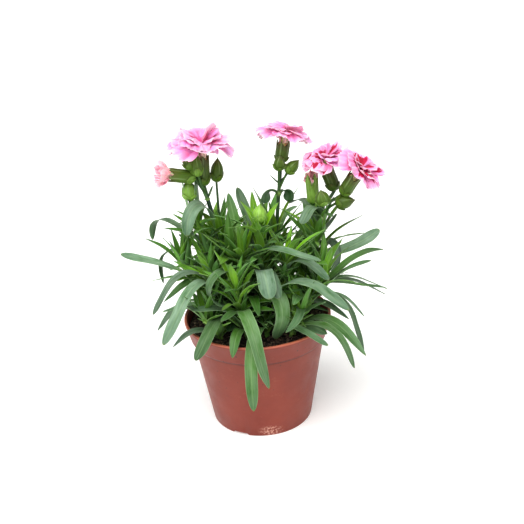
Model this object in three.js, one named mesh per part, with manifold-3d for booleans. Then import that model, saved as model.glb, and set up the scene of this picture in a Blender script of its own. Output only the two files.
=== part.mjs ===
// A dwarf carnation in its nursery pot: a turned plastic pot, potting soil, leafy and
// flowering shoots that stand in it, and the petals of each open bloom.
// Millimetres, +Z up; the origin is the middle of the pot's foot, on the surface below it.
// Directions are an azimuth in degrees (0 along +X, 90 along +Y) and a rise above level.

import * as THREE from 'three';
import { mergeVertices } from 'three/addons/utils/BufferGeometryUtils.js';
import Module from 'manifold-3d';

const wasm = await Module();
wasm.setup();

// ---- Driving dimensions ----

const POT_HEIGHT = 80;
const RIM_RADIUS = 52.5;
const FOOT_RADIUS = 36.2;
const WALL = 1.5;
const BAND_BOTTOM = 65; // the collar under the rim starts here
const BAND_STEP = 1.6; // and stands out this far
const FLARE = 0.24; // how fast the collar widens
const RIM_EDGE = 1.8; // height and width of the rolled edge
const FLOOR = 3.4; // top of the pot's floor
const UNDERCUT = 2; // the floor is raised this far off the surface
const FOOT_RING = 3.6; // width of the ring the pot stands on
const BOSS_RADIUS = 9; // flat disc in the middle of the foot
const POT_SIDES = 36;
const DRAINS = 5;
const DRAIN_RADIUS = 3.2;
const DRAIN_CIRCLE = 24;
const DRAIN_SIDES = 8;
const FIRST_DRAIN = 120; // azimuth
const NOTCHES = 3; // drainage notches in the foot ring
const NOTCH_WIDTH = 12;
const NOTCH_HEIGHT = 1.6;
const FIRST_NOTCH = 242; // azimuth

const SOIL_TOP = 75;
const SOIL_RELIEF = 0.6;
const SOIL_SIDES = 20;
const SEAT = 0.3; // clearance between pieces that stand in one another
const PLANTED = 8; // how deep a stem stands in the soil

const STEPS = 24; // steps along a leaf, stem or petal
// Steps at which a leaf has a section, for leaves that bend less than so many degrees.
const LEAF_STATIONS = [[42, [0, 8, 17]], [92, [0, 6, 13, 20]], [360, [0, 5, 10, 16, 21]]];
const LEAF_KEEL = 1.3; // how far the midrib stands out below a leaf
const STEM_STATIONS = [0, 12, 24];
const STEM_SIDES = 5;
const LEAF_GAP = 1.3; // leaves pass each other, the pot's wall and the soil this far apart
const RIM_GAP = 2; // and pass over the rim this far up
const STEM_GAP = 1.2; // leaves pass other shoots' stems this far apart
const CALYX_GAP = 3; // and open calyces, round which petals spread, this far
const BUD_GAP = 2;
const STEEPEST_LEAF = 86;
const PETAL_THICKNESS = 0.7;

// Shoots. Foot x and y, length, azimuth, rise, change of rise, radius.
const SHOOTS = {
  "front": [6, -27, 88, 99, 84, 0, 1.7],
  "flower_left": [0, 3, 110, 189, 70, -8, 1.8],
  "flower_back": [6, 16, 108, 8, 80, -4, 1.6],
  "flower_right": [22, -2, 98, 356, 67, -14, 1.8],
  "bud_left": [-14, 5, 103, 199, 71, -6, 1.4],
  "left": [-24, 0, 62, 180, 66, 5, 1.5],
  "left_front": [-13, -15, 56, 200, 72, 5, 1.5],
  "left_low": [-22, -22, 34, 225, 55, 0, 1.4],
  "right": [24, -14, 58, 340, 68, 10, 1.5],
  "right_front": [19, -25, 36, 310, 60, 0, 1.4],
  "right_back": [26, 14, 66, 30, 68, 5, 1.5],
  "centre": [-3, -12, 66, 235, 82, 0, 1.5],
  "centre_right": [13, -16, 62, 320, 80, 0, 1.5],
  "front_left": [-7, -27, 52, 240, 76, 0, 1.4],
  "back_left": [-16, 20, 60, 130, 72, 5, 1.5],
  "back": [4, 30, 56, 85, 76, 5, 1.5],
};

// Leaves that give the plant its outline. Place along the stem, azimuth, rise, length,
// width, change of rise, where that change is centred, change of azimuth, twist.
const LEAVES = {
  "left": [
    [0.85, 178, 28, 49, 7, 16, 0.35, -12, 20],
    [0.7, 158, 84, 64, 6.5, 180, 0.5, 0, 0],
  ],
  "flower_left": [
    [0.6, 174, 26, 83, 6, 127, 0.76, -64, 0],
    [0.33, 255, 62, 80, 8.5, 0, 0.4, 20, 0],
    [0.33, 181, 62, 52, 7.5, 13, 0.5, 0, 0],
    [0.28, 162, 53, 62, 7.5, 28, 0.6, -7, 0],
    [0.25, 200, 58, 58, 7, 25, 0.4, -3, 0],
    [0.75, 218, 73, 56, 9, 146, 0.56, 28, 0],
  ],
  "left_front": [
    [0.95, 202, 56, 58, 8, 112, 0.35, 3, 0],
    [0.8, 234, 80, 72, 9.5, 128, 0.25, -9, 0],
    [0.3, 240, 60, 63, 9.5, 90, 0.3, -3, 0],
    [0.3, 192, 61, 55, 5, 73, 0.4, -7, 0],
  ],
  "front_left": [
    [0.5, 264, 86, 79, 9.5, 160, 0.26, 70, 0],
    [0.3, 240, 85, 47, 7, 83, 0.4, 6, 0],
    [0.3, 211, 64, 49, 8, 60, 0.49, -16, 0],
  ],
  "centre": [
    [0.15, 250, 71, 65, 8, 86, 0.32, -23, 0],
    [0.3, 191, 42, 47, 8, 55, 0.52, 1, 0],
    [0.75, 226, 32, 66, 7, 190, 0.6, -42, 0],
    [0.9, 329, 56, 67, 7.5, 66, 0.33, 6, 0],
    [0.9, 106, 49, 57, 7.5, 16, 0.42, 1, 0],
  ],
  "front": [
    [0.15, 250, 37, 88, 8.5, 130, 0.42, 15, 0],
    [0.38, 296, 66, 66, 11, 186, 0.4, 0, 0],
    [0.75, 130, 60, 54, 8, 135, 0.46, -14, 0],
    [0.55, 270, 58, 52, 11.5, 90, 0.45, 8, 0],
    [0.5, 283, 60, 50, 8, 96, 0.5, 0, 0],
    [0.4, 315, 43, 81, 10, 72, 0.53, 4, 0],
    [0.15, 316, 42, 55, 6, 59, 0.34, 7, 0],
    [0.6, 110, 64, 70, 7, 36, 0.44, -6, 0],
    [0.75, 99, 48, 62, 6.5, 40, 0.5, -9, 0],
  ],
  "right": [
    [0.6, 330, 48, 66, 5, 119, 0.3, -14, 0],
    [0.6, 348, 28, 45, 4.5, 81, 0.4, 7, 0],
    [0.75, 7, 39, 57, 8, 60, 0.71, 18, 0],
    [0.45, 349, 50, 59, 7, 43, 0.72, 5, 0],
  ],
  "centre_right": [
    [0.75, 315, 76, 54, 8, 106, 0.45, 1, 0],
    [0.3, 287, 35, 56, 10, 61, 0.46, -37, 0],
    [0.3, 340, 23, 65, 6, 64, 0.49, -128, 0],
    [0.75, 67, 40, 67, 6, 43, 0.45, 10, 0],
  ],
  "right_front": [
    [0.6, 320, 24, 61, 6.5, 91, 0.49, 2, 0],
  ],
  "right_back": [
    [0.3, 349, 52, 64, 4, 62, 0.21, 11, 0],
    [0.75, 7, 3, 54, 9, -20, 0.55, 19, -40],
    [0.9, 316, 44, 42, 8.5, 153, 0.36, -4, 0],
  ],
  "flower_right": [
    [0.45, 349, 85, 51, 10, 33, 0.44, 10, 0],
    [0.9, 224, 82, 31, 9, 125, 0.41, 6, 0],
    [0.75, 119, 80, 56, 6, 110, 0.45, -5, 0],
  ],
  "flower_back": [
    [0.9, 190, 48, 18, 7, 134, 0.42, 0, 0],
    [0.9, 13, 44, 16, 6, 150, 0.41, 2, 0],
    [0.2, 88, 80, 92, 6, 61, 0.41, -15, 0],
    [0.4, 69, 60, 66, 5, 70, 0.52, -5, 0],
  ],
};

// Crossed pairs that fill each shoot. Pairs, first azimuth, lowest and highest place along
// the stem, leaf length low and high, rise low and high.
const PAIRS = {
  "front": [5, 20, 0.2, 0.9, 46, 32, 36, 66],
  "flower_left": [5, 75, 0.18, 0.66, 72, 42, 32, 66],
  "flower_back": [5, 30, 0.13, 0.6, 72, 36, 30, 60],
  "flower_right": [5, 100, 0.14, 0.7, 72, 38, 28, 64],
  "bud_left": [5, 110, 0.16, 0.82, 62, 28, 36, 70],
  "left": [5, 180, 0.2, 0.97, 52, 32, 34, 66],
  "left_front": [5, 245, 0.2, 0.97, 44, 32, 38, 68],
  "left_low": [3, 190, 0.36, 0.95, 38, 28, 36, 60],
  "right": [5, -40, 0.2, 0.97, 66, 32, 36, 66],
  "right_front": [3, 300, 0.36, 0.95, 38, 28, 36, 60],
  "right_back": [5, 10, 0.18, 0.97, 72, 34, 34, 64],
  "centre": [5, 10, 0.22, 0.97, 52, 34, 34, 72],
  "centre_right": [5, 45, 0.22, 0.97, 50, 34, 34, 70],
  "front_left": [5, 70, 0.3, 0.97, 38, 30, 36, 68],
  "back_left": [5, 130, 0.2, 0.97, 72, 34, 34, 62],
  "back": [5, 85, 0.22, 0.97, 66, 30, 34, 62],
};

const PAIR_AZIMUTH_SPREAD = 24;
const PAIR_RISE_SPREAD = 14;
const PAIR_WIDTHS = [8.8, 5.8]; // in the lowest and in the top pair
const PAIR_BENDS = [88, 28];
const PAIR_TWIST_SPREAD = 70;
const INWARD_LIFT = 22; // leaves towards the plant's middle stand this much steeper,
const INWARD_SHORTENING = 0.22; // are shorter by this share
const INWARD_STRAIGHTENING = 0.5; // and bend less by this share

// Stalks with their heads. Place along the stem, azimuth, rise, length, change of rise,
// radius, then the head: what it is, its azimuth, rise, length and radius.
const STALKS = {
  "front": [
    [1, 295, 87, 2, 0, 1.4, "bud", 0, 84, 12, 4.8],
  ],
  "flower_left": [
    [1, 241, 77, 7, 0, 1.5, "calyx", 298, 87, 18, 4.5],
    [0.62, 117, 82, 48, -8, 1, "bud", 10, 83, 16, 4.3],
    [0.96, 218, 74, 20, 20, 1.1, "calyx", 192, 30, 15, 4.7],
    [1, 222, 56, 23, -10, 1, "bud", 186, 78, 15, 4],
    [1, 246, 55, 18, -10, 1, "bud", 225, 85, 16, 3.7],
  ],
  "flower_back": [
    [1, 357, 84, 12, 0, 1.4, "calyx", 0, 80, 12, 4.8],
    [0.9, 276, 75, 19, 0, 0.9, "bud", 311, 79, 11, 3.9],
    [0.93, 350, 63, 13, 0, 0.9, "bud", 0, 45, 12, 4.1],
  ],
  "flower_right": [
    [1, 30, 30, 13, -20, 1.4, "calyx", 175, 70, 15, 4.8],
    [1, 343, 26, 16, -10, 1.3, "calyx", 333, 57, 14, 4.8],
    [0.86, 118, 46, 15, -20, 1.1, "calyx", 150, 87, 12.5, 4.4],
    [0.95, 273, 41, 10, -10, 1, "bud", 224, 77, 11, 4.8],
    [0.92, 336, 53, 14, 20, 1.1, "bud", 351, 10, 13, 4.7],
  ],
  "bud_left": [
    [1, 85, 86, 4, 0, 1.2, "bud", 264, 86, 14, 5],
  ],
};

// Petals of each open calyx: the shoot and its stalk that they stand on, their radius, and
// how many degrees further over they bend.
const BLOOMS = {
  "bloom_left": ["flower_left", 0, 25, 2],
  "bloom_back": ["flower_back", 0, 19.5, 40],
  "bloom_right": ["flower_right", 0, 14.5, 0],
  "bloom_right_low": ["flower_right", 1, 15, 0],
  "half_bloom_left": ["flower_left", 2, 9, 0],
  "half_bloom_right": ["flower_right", 2, 4.5, 0],
};
// Whorls of petals. Petals, then their length and width beside the bloom's radius, change
// of rise, ruffle, first azimuth, and the feet's distance and height on the plug.
const OPEN_WHORLS = [
  [5, 0.92, 1.12, 84, 0.7, 10, 0.62, 0.3],
  [4, 0.62, 0.8, 58, 0.7, 40, 0.25, 4.6],
];
const HALF_WHORLS = [
  [4, 0.9, 1, 22, 0.5, 10, 0.5, 0.3],
];
const PETAL_RISE = 80; // at the foot
const PETAL_ROWS = [[0.04, 2], [0.38, 3], [0.7, 4], [1, 7]]; // place along it, and points across
const CLAW = 5; // the narrow foot of a petal, inside the calyx
const CLAW_SHARE = 0.1; // width of the claw beside the fan's
const FAN_START = 0.22; // place along the petal where the fan begins to widen
const FAN_ROUNDING = 0.14; // how far the fan's corners fall short of its middle
const TOOTH_DEPTH = 0.07; // notches in a petal's edge, beside its length
const LAP = 2.2; // one side of each petal lies this far over the next one
const RECESS = 4; // depth of the hollow in a calyx where the petals stand
// The plug that the petals grow from: height over the calyx's rim, and share of its radius.
const PLUG_PROFILE = [[-RECESS + SEAT, 1], [0.4, 1], [2, 0.55], [7.5, 0.45]];
const PLUG_SIDES = 8;

// Heads: [share of length, share of radius] rows along their axis.
const BUD_SIDES = 6;
const BUD_PROFILE = [[0.1, 0.7], [0.38, 1], [0.74, 0.74]];
const CALYX_PROFILE = [[-0.02, 0.5], [0.35, 0.95], [1, 1]];
const CALYX_WALL = 0.9;
const TEETH = 5; // of a calyx
const TOOTH = 2.6;

const SEED = 7;

// ---- Growth ----

function unit(azimuth, rise) {
  const a = THREE.MathUtils.degToRad(azimuth);
  const e = THREE.MathUtils.degToRad(rise);
  return new THREE.Vector3(Math.cos(e) * Math.cos(a), Math.cos(e) * Math.sin(a), Math.sin(e));
}

// A curve whose rise changes by `bend` around the share `at` of its length, and whose
// azimuth turns by `sweep`. Each step keeps its point, direction, side and upper normal.
function grow(start, length, azimuth, rise, bend = 0, at = 0.5, sweep = 0, span = 0.8) {
  const heading = (s) => unit(
    azimuth + sweep * s,
    rise - bend * THREE.MathUtils.smoothstep((s - at) / span + 0.5, 0, 1),
  );
  const point = start.clone();
  const path = [];
  for (let i = 0; i <= STEPS; i++) {
    const along = heading(i / STEPS);
    const a = THREE.MathUtils.degToRad(azimuth + sweep * i / STEPS);
    const side = new THREE.Vector3(Math.sin(a), -Math.cos(a), 0);
    path.push({ point: point.clone(), along, side, up: side.clone().cross(along) });
    point.addScaledVector(heading((i + 0.5) / STEPS), length / STEPS);
  }
  return path;
}

function pointAt(path, share) {
  const x = share * STEPS;
  const i = Math.min(Math.floor(x), STEPS - 1);
  return path[i].point.clone().lerp(path[i + 1].point, x - i);
}

// Seeded draws between 0 and 1.
function draws(seed) {
  let state = seed;
  return () => {
    state = (state + 0x6D2B79F5) >>> 0;
    let t = Math.imul(state ^ (state >>> 15), state | 1);
    t ^= t + Math.imul(t ^ (t >>> 7), t | 61);
    return ((t ^ (t >>> 14)) >>> 0) / 4294967296;
  };
}

// ---- Solids ----

// A closed skin over rings of points that run anticlockwise seen from the far end. That
// end closes in `tip`, or flat where there is none.
function loft(rings, tip) {
  const sides = rings[0].length;
  const points = rings.flat();
  const faces = [];
  const last = (rings.length - 1) * sides;
  for (let r = 0; r < last; r += sides) {
    for (let i = 0; i < sides; i++) {
      const j = (i + 1) % sides;
      faces.push(r + i, r + j, r + sides + j, r + i, r + sides + j, r + sides + i);
    }
  }
  for (let i = 1; i < sides - 1; i++) {
    faces.push(0, i + 1, i);
    if (!tip) faces.push(last, last + i, last + i + 1);
  }
  if (tip) {
    for (let i = 0; i < sides; i++) faces.push(last + i, last + (i + 1) % sides, points.length);
    points.push(tip);
  }
  return solid(points, faces);
}

function solid(points, faces) {
  return new wasm.Manifold(new wasm.Mesh({
    numProp: 3,
    vertProperties: Float32Array.from(points.flatMap((p) => [p.x, p.y, p.z])),
    triVerts: Uint32Array.from(faces),
  }));
}

// Points and faces of a geometry whose seams are closed.
function skinOf(geometry) {
  geometry.deleteAttribute('normal');
  geometry.deleteAttribute('uv');
  const merged = mergeVertices(geometry);
  const position = merged.attributes.position;
  const points = [];
  for (let i = 0; i < position.count; i++) {
    points.push(new THREE.Vector3().fromBufferAttribute(position, i));
  }
  const faces = [];
  const index = merged.index.array;
  for (let i = 0; i < index.length; i += 3) {
    const [a, b, c] = index.slice(i, i + 3);
    if (a !== b && b !== c && c !== a) faces.push(a, b, c);
  }
  return { points, faces };
}

// A turned profile of [radius, height] points that starts and ends on the axis.
function turned(profile, sides) {
  const outline2d = profile.map(([r, z]) => new THREE.Vector2(r, z));
  return skinOf(new THREE.LatheGeometry(outline2d, sides).rotateX(Math.PI / 2));
}

function join(solids) {
  return solids.reduce((sum, next) => sum.add(next));
}

// The outer skin of the largest body alone: sealed hollows are filled, scraps dropped.
function wholeBody(body) {
  return body.decompose().reduce((best, next) => (next.volume() > best.volume() ? next : best));
}

// A ring of points round an axis, which starts on the side that `reference` points to.
function ringAround(centre, along, reference, radius, sides) {
  const up = reference.clone().addScaledVector(along, -reference.dot(along)).normalize();
  const side = along.clone().cross(up);
  return Array.from({ length: sides }, (_, i) => {
    const a = 2 * Math.PI * i / sides;
    return centre.clone()
      .addScaledVector(up, radius * Math.cos(a))
      .addScaledVector(side, radius * Math.sin(a));
  });
}

const part = new THREE.Group();

function add(name, body, material) {
  const { vertProperties, triVerts } = body.getMesh();
  const geometry = new THREE.BufferGeometry();
  geometry.setAttribute('position', new THREE.BufferAttribute(vertProperties, 3));
  geometry.setIndex(new THREE.BufferAttribute(triVerts, 1));
  geometry.computeVertexNormals();
  const mesh = new THREE.Mesh(geometry, material);
  mesh.name = name;
  part.add(mesh);
}

// ---- Materials ----

function plain(color, roughness) {
  return new THREE.MeshStandardMaterial({ color, roughness, metalness: 0 });
}
const terracottaPlastic = plain(0xb0593f, 0.45);
const pottingSoil = plain(0x2e241e, 0.95);
const glaucousLeaf = plain(0x6f9072, 0.6);
const youngLeaf = plain(0x7fa83c, 0.55);
const pinkPetal = plain(0xf2a0c6, 0.7);

// ---- Stems, leaves and their clearance ----

const stems = {};
const stalks = {};
for (const [name, [x, y, length, azimuth, rise, bend, radius]] of Object.entries(SHOOTS)) {
  const start = new THREE.Vector3(x, y, SOIL_TOP - PLANTED);
  stems[name] = { path: grow(start, length, azimuth, rise, bend), radius };
  stalks[name] = (STALKS[name] ?? []).map(([share, ...row]) => {
    const [stalkAzimuth, stalkRise, stalkLength, stalkBend, stalkRadius, kind, ...head] = row;
    const path = grow(pointAt(stems[name].path, share), stalkLength, stalkAzimuth, stalkRise, stalkBend);
    return { path, radius: stalkRadius, kind, head };
  });
}

function tubeRings({ path, radius }, stations, sides) {
  return stations.map((i) => {
    const { point, along } = path[i];
    return ringAround(point, along, path[0].up, radius * (1 - 0.25 * i / STEPS), sides);
  });
}

// Half width along a leaf: it clasps the stem, soon reaches its width and ends acute.
function leafWidth(s) {
  const taper = Math.max(0, (s - 0.72) / 0.28);
  return Math.min(1, 0.12 + 3.5 * s) * (1 - taper ** 2.2) ** 0.7;
}

function leafSections(root, [, azimuth, rise, length, width, bend, at, sweep, twist]) {
  const path = grow(root, length, azimuth, rise, bend, at, sweep);
  const [, stations] = LEAF_STATIONS.find(([most]) => Math.abs(bend) < most);
  return [...stations, STEPS].map((i) => {
    const s = i / STEPS;
    const { point, along, side, up } = path[i];
    const turn = THREE.MathUtils.degToRad(twist * s);
    side.applyAxisAngle(along, -turn);
    up.applyAxisAngle(along, -turn);
    return { point, side, up, half: width / 2 * leafWidth(s), s };
  });
}

function leafSolid(sections) {
  const rings = sections.slice(0, -1).map(({ point, side, up, half, s }) => {
    return [
      point.clone().addScaledVector(side, half),
      point.clone().addScaledVector(up, -LEAF_KEEL * (1 - 0.4 * s)),
      point.clone().addScaledVector(side, -half),
    ];
  });
  return loft(rings, sections.at(-1).point);
}

// What a leaf has to pass: its own flat pieces, and lines that stand out of both its faces.
function outline(sections) {
  const edges = sections.map(({ point, side, half }) => [-1, 0, 1].map(
    (k) => point.clone().addScaledVector(side, k * half),
  ));
  const lines = [];
  const pieces = [];
  edges.forEach((row, i) => {
    const { up } = sections[i];
    for (const p of row) {
      lines.push([p.clone().addScaledVector(up, -LEAF_GAP), p.clone().addScaledVector(up, LEAF_GAP)]);
    }
    lines.push([row[0], row[2]]);
    if (i === 0) return;
    const before = edges[i - 1];
    for (const k of [0, 1, 2]) {
      for (const offset of [-LEAF_GAP, LEAF_GAP]) {
        lines.push([before[k], row[k]].map((p) => p.clone().addScaledVector(up, offset)));
      }
    }
    pieces.push([before[0], before[2], row[2]], [before[0], row[2], row[0]]);
  });
  return { lines, pieces, box: new THREE.Box3().setFromPoints(edges.flat()).expandByScalar(LEAF_GAP) };
}

const ray = new THREE.Ray();
const hit = new THREE.Vector3();
function pierced(lines, pieces) {
  return lines.some(([from, to]) => {
    const reach = from.distanceTo(to);
    ray.set(from, to.clone().sub(from).normalize());
    return pieces.some(([a, b, c]) => (
      ray.intersectTriangle(a, b, c, false, hit) && hit.distanceTo(from) < reach
    ));
  });
}

function crosses(a, b) {
  return a.box.intersectsBox(b.box) && (pierced(a.lines, b.pieces) || pierced(b.lines, a.pieces));
}

// Outer radius of the pot at a height.
function potRadius(z) {
  if (z > BAND_BOTTOM) return RIM_RADIUS - (POT_HEIGHT - z) * FLARE;
  const wallTop = RIM_RADIUS - (POT_HEIGHT - BAND_BOTTOM) * FLARE - BAND_STEP;
  return FOOT_RADIUS + (wallTop - FOOT_RADIUS) * z / BAND_BOTTOM;
}

// Places along a leaf, at the ends of its sections and between them.
function placesAlong(sections) {
  return sections.slice(1).flatMap((b, i) => [0.25, 0.5, 0.75, 1].map((f) => {
    const a = sections[i];
    const half = THREE.MathUtils.lerp(a.half, b.half, f);
    return { point: a.point.clone().lerp(b.point, f), side: b.side, half };
  }));
}

// Clear of the pot's wall and rim, of the soil and of the surface below.
function clearOfPot(places) {
  return places.every(({ point, side, half }) => [-half, 0, half].every((across) => {
    const p = point.clone().addScaledVector(side, across);
    const r = Math.hypot(p.x, p.y);
    if (p.z > POT_HEIGHT + RIM_GAP) return true;
    if (r < RIM_RADIUS - 4 * WALL) return p.z > SOIL_TOP + LEAF_GAP;
    return p.z > LEAF_GAP && r > potRadius(Math.min(p.z, POT_HEIGHT)) + LEAF_GAP;
  }));
}

// Round things that leaves keep away from: other shoots' stems, stalks and heads.
const obstacles = [];
for (const name of Object.keys(SHOOTS)) {
  for (const { path, radius } of [stems[name], ...stalks[name]]) {
    for (const { point } of path) obstacles.push({ name, point, radius: radius + STEM_GAP });
  }
  for (const { path, kind, head: [azimuth, rise, length, radius] } of stalks[name]) {
    for (const share of [0.3, 0.7, 1]) {
      const point = path.at(-1).point.clone().addScaledVector(unit(azimuth, rise), share * length);
      obstacles.push({ name, point, radius: radius + (kind === 'calyx' ? CALYX_GAP : BUD_GAP) });
    }
  }
}

function clearOfStems(places, name) {
  return obstacles.every((o) => o.name === name || places.every(({ point, side, half }) => {
    const away = o.point.clone().sub(point);
    const across = THREE.MathUtils.clamp(away.dot(side), -half, half);
    return away.addScaledVector(side, -across).length() > o.radius;
  }));
}

// Leaves of one shoot meet round its stem, so only their outer parts have to pass.
const leaves = [];
function clearOfLeaves(leaf) {
  return leaves.every((other) => (other.name === leaf.name
    ? !crosses(leaf.outer, other.outer)
    : !crosses(leaf.whole, other.whole)));
}

// A leaf tries these in turn until it passes its neighbours: turned aside, lifted, shorter.
const TURNS = [
  [0, 0, 1], [6, 2, 1], [-6, 2, 1], [0, 8, 1], [0, -8, 1], [0, 15, 1], [13, 5, 1],
  [-13, 5, 1], [22, 4, 1], [-22, 4, 1], [0, 20, 0.9], [32, 8, 0.9], [-32, 8, 0.9],
  [12, 30, 0.8], [-12, 30, 0.8], [46, 14, 0.8], [-46, 14, 0.8], [0, 10, 0.6],
  [30, 20, 0.6], [-30, 20, 0.6], [0, 34, 0.5],
];
function place(name, row) {
  const [share, azimuth, rise, length, ...rest] = row;
  const root = pointAt(stems[name].path, share);
  for (const [turn, lift, size] of TURNS) {
    const steepness = Math.min(STEEPEST_LEAF, rise + lift);
    const sections = leafSections(root, [share, azimuth + turn, steepness, length * size, ...rest]);
    const places = placesAlong(sections);
    if (!clearOfPot(places) || !clearOfStems(places, name)) continue;
    const leaf = { name, sections, whole: outline(sections), outer: outline(sections.slice(2)) };
    if (!clearOfLeaves(leaf)) continue;
    leaves.push(leaf);
    return;
  }
}

for (const [name, rows] of Object.entries(LEAVES)) {
  for (const row of rows) place(name, row);
}

// Crossed pairs: each turns a right angle from the pair below. Leaves on the plant's
// inner side stand steeper, and low leaves are long and arch over.
const { lerp } = THREE.MathUtils;
const draw = draws(SEED);
for (const [name, [pairs, first, low, high, long, short, flat, steep]] of Object.entries(PAIRS)) {
  const outward = SHOOTS[name][3];
  for (let pair = 0; pair < pairs; pair++) {
    const u = pair / (pairs - 1);
    for (const half of [0, 180]) {
      const azimuth = first + 90 * pair + half + (draw() - 0.5) * PAIR_AZIMUTH_SPREAD;
      const [a, b, c, d] = [draw(), draw(), draw(), draw()];
      const inward = 0.5 - 0.5 * Math.cos(THREE.MathUtils.degToRad(azimuth - outward));
      const share = lerp(low, high, u);
      const rise = lerp(flat, steep, u) + INWARD_LIFT * inward + (a - 0.5) * PAIR_RISE_SPREAD;
      const length = lerp(long, short, u) * (1 - INWARD_SHORTENING * inward) * lerp(0.9, 1.1, b);
      const width = lerp(...PAIR_WIDTHS, u) * lerp(0.92, 1.08, c);
      const bend = lerp(...PAIR_BENDS, u) * (1 - INWARD_STRAIGHTENING * inward) * lerp(0.75, 1.25, d);
      const twist = (b + d - 1) * PAIR_TWIST_SPREAD;
      place(name, [share, azimuth, rise, length, width, bend, 0.45, 0, twist]);
    }
  }
}

// ---- Heads ----

// Rings along a head's axis from [share of length, share of radius] rows.
function headRings({ path, head: [azimuth, rise, length, radius] }, sides, profile) {
  const { point, up } = path.at(-1);
  const along = unit(azimuth, rise);
  const reference = Math.abs(up.dot(along)) > 0.9 ? path.at(-1).along : path[0].up;
  return profile.map(([height, share]) => ringAround(
    point.clone().addScaledVector(along, height * length), along, reference, share * radius, sides,
  ));
}

// A closed bud in one skin with its stalk.
function budSolid(stalk) {
  const [azimuth, rise, length] = stalk.head;
  const tip = stalk.path.at(-1).point.clone().addScaledVector(unit(azimuth, rise), length);
  return loft([
    ...tubeRings(stalk, STEM_STATIONS, BUD_SIDES),
    ...headRings(stalk, BUD_SIDES, BUD_PROFILE),
  ], tip);
}

// An open calyx on its stalk: a tube with teeth round a hollow where the petals stand.
function calyxSolid(stalk) {
  const [azimuth, rise, length, radius] = stalk.head;
  const along = unit(azimuth, rise);
  const outside = headRings(stalk, 2 * TEETH, CALYX_PROFILE);
  const inner = 1 - CALYX_WALL / radius;
  const hollow = headRings(stalk, 2 * TEETH, [[1, inner], [1 - RECESS / length, inner]]);
  for (const ring of [outside.at(-1), hollow[0]]) {
    ring.forEach((point, i) => {
      if (i % 2 === 0) point.addScaledVector(along, TOOTH);
    });
  }
  const foot = stalk.path.at(-1).point.clone().addScaledVector(along, 0.12 * length);
  const tube = tubeRings(stalk, STEM_STATIONS, STEM_SIDES);
  tube.push(ringAround(foot, along, stalk.path[0].up, stalk.radius / 2, STEM_SIDES));
  return loft(tube).add(loft([...outside, ...hollow]));
}

// A thin sheet with the same triangles on both faces. Rows run outward from the foot, and
// each row's points from one side to the other, with its upper normal.
function sheet(rows, thickness) {
  const points = [];
  const starts = [];
  for (const row of rows) {
    starts.push(points.length);
    points.push(...row);
  }
  const faces = [];
  for (let r = 1; r < rows.length; r++) {
    const [m, n] = [rows[r - 1].length - 1, rows[r].length - 1];
    let [i, j] = [0, 0];
    while (i < m || j < n) {
      const [a, b] = [starts[r - 1] + i, starts[r] + j];
      if (j === n || (i < m && (i + 1) / m <= (j + 1) / n)) {
        faces.push([a, a + 1, b]);
        i++;
      } else {
        faces.push([a, b + 1, b]);
        j++;
      }
    }
  }
  const lastRow = rows.length - 1;
  const rim = [...rows[0].keys()];
  for (let r = 1; r <= lastRow; r++) rim.push(starts[r] + rows[r].length - 1);
  for (let i = rows[lastRow].length - 2; i >= 0; i--) rim.push(starts[lastRow] + i);
  for (let r = lastRow - 1; r > 0; r--) rim.push(starts[r]);
  const count = points.length;
  const skin = faces.flatMap(([a, b, c]) => [a, b, c, a + count, c + count, b + count]);
  rim.forEach((p, i) => {
    const q = rim[(i + 1) % rim.length];
    skin.push(p + count, q + count, q, p + count, q, p);
  });
  const faced = [0.5, -0.5].flatMap((k) => points.map(
    ({ point, up }) => point.clone().addScaledVector(up, k * thickness),
  ));
  return solid(faced, skin);
}

// A petal: a narrow claw that opens into a waved fan with a toothed edge.
function petal(foot, azimuth, length, width, bend, ruffle, phase) {
  const path = grow(foot, length, azimuth, PETAL_RISE, bend, 0.42, 0, 0.6);
  const rows = PETAL_ROWS.map(([s, count]) => {
    const fan = lerp(CLAW_SHARE, 1, THREE.MathUtils.smoothstep(s, FAN_START, 1));
    return Array.from({ length: count }, (_, i) => {
      const u = 2 * i / (count - 1) - 1;
      const tooth = s === 1 && i % 2 === 1 ? TOOTH_DEPTH : 0;
      const place = s * (1 - FAN_ROUNDING * u * u) - tooth;
      const { side, up } = path[Math.min(Math.floor(place * STEPS), STEPS - 1)];
      const wave = s * (s * ruffle * Math.sin(2.6 * u + phase) + LAP * u);
      const point = pointAt(path, place)
        .addScaledVector(side, u * width / 2 * fan)
        .addScaledVector(up, wave);
      return { point, up };
    });
  });
  return sheet(rows, PETAL_THICKNESS);
}

// Petals round a plug that stands in the calyx, made upright and then tilted with it.
function bloomSolid(radius, droop, whorls, plugRadius, pick) {
  const upright = new THREE.Vector3(0, 0, 1);
  const back = new THREE.Vector3(0, 1, 0);
  const solids = [loft(PLUG_PROFILE.map(([z, share]) => (
    ringAround(new THREE.Vector3(0, 0, z), upright, back, plugRadius * share, PLUG_SIDES)
  )))];
  for (const [count, reach, breadth, bend, ruffle, first, ring, lift] of whorls) {
    for (let i = 0; i < count; i++) {
      const azimuth = first + 360 * i / count + (pick() - 0.5) * 8;
      const foot = unit(azimuth, 0).multiplyScalar(ring * plugRadius).setZ(lift);
      const length = CLAW + radius * reach * (0.94 + 0.12 * pick());
      const phase = 6 * pick();
      solids.push(petal(foot, azimuth, length, radius * breadth, bend + droop, ruffle, phase));
    }
  }
  return wholeBody(join(solids));
}

// ---- The pot ----

// Inner radius of the pot below its collar.
const INSIDE_FOOT = FOOT_RADIUS - 1;
const INSIDE_TOP = potRadius(BAND_BOTTOM) - WALL;
const COLLAR_ROOT = BAND_BOTTOM - 3; // where the wall begins to step out inside
function insideRadius(z) {
  return lerp(INSIDE_FOOT, INSIDE_TOP, (z - FLOOR) / (COLLAR_ROOT - FLOOR));
}

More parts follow.
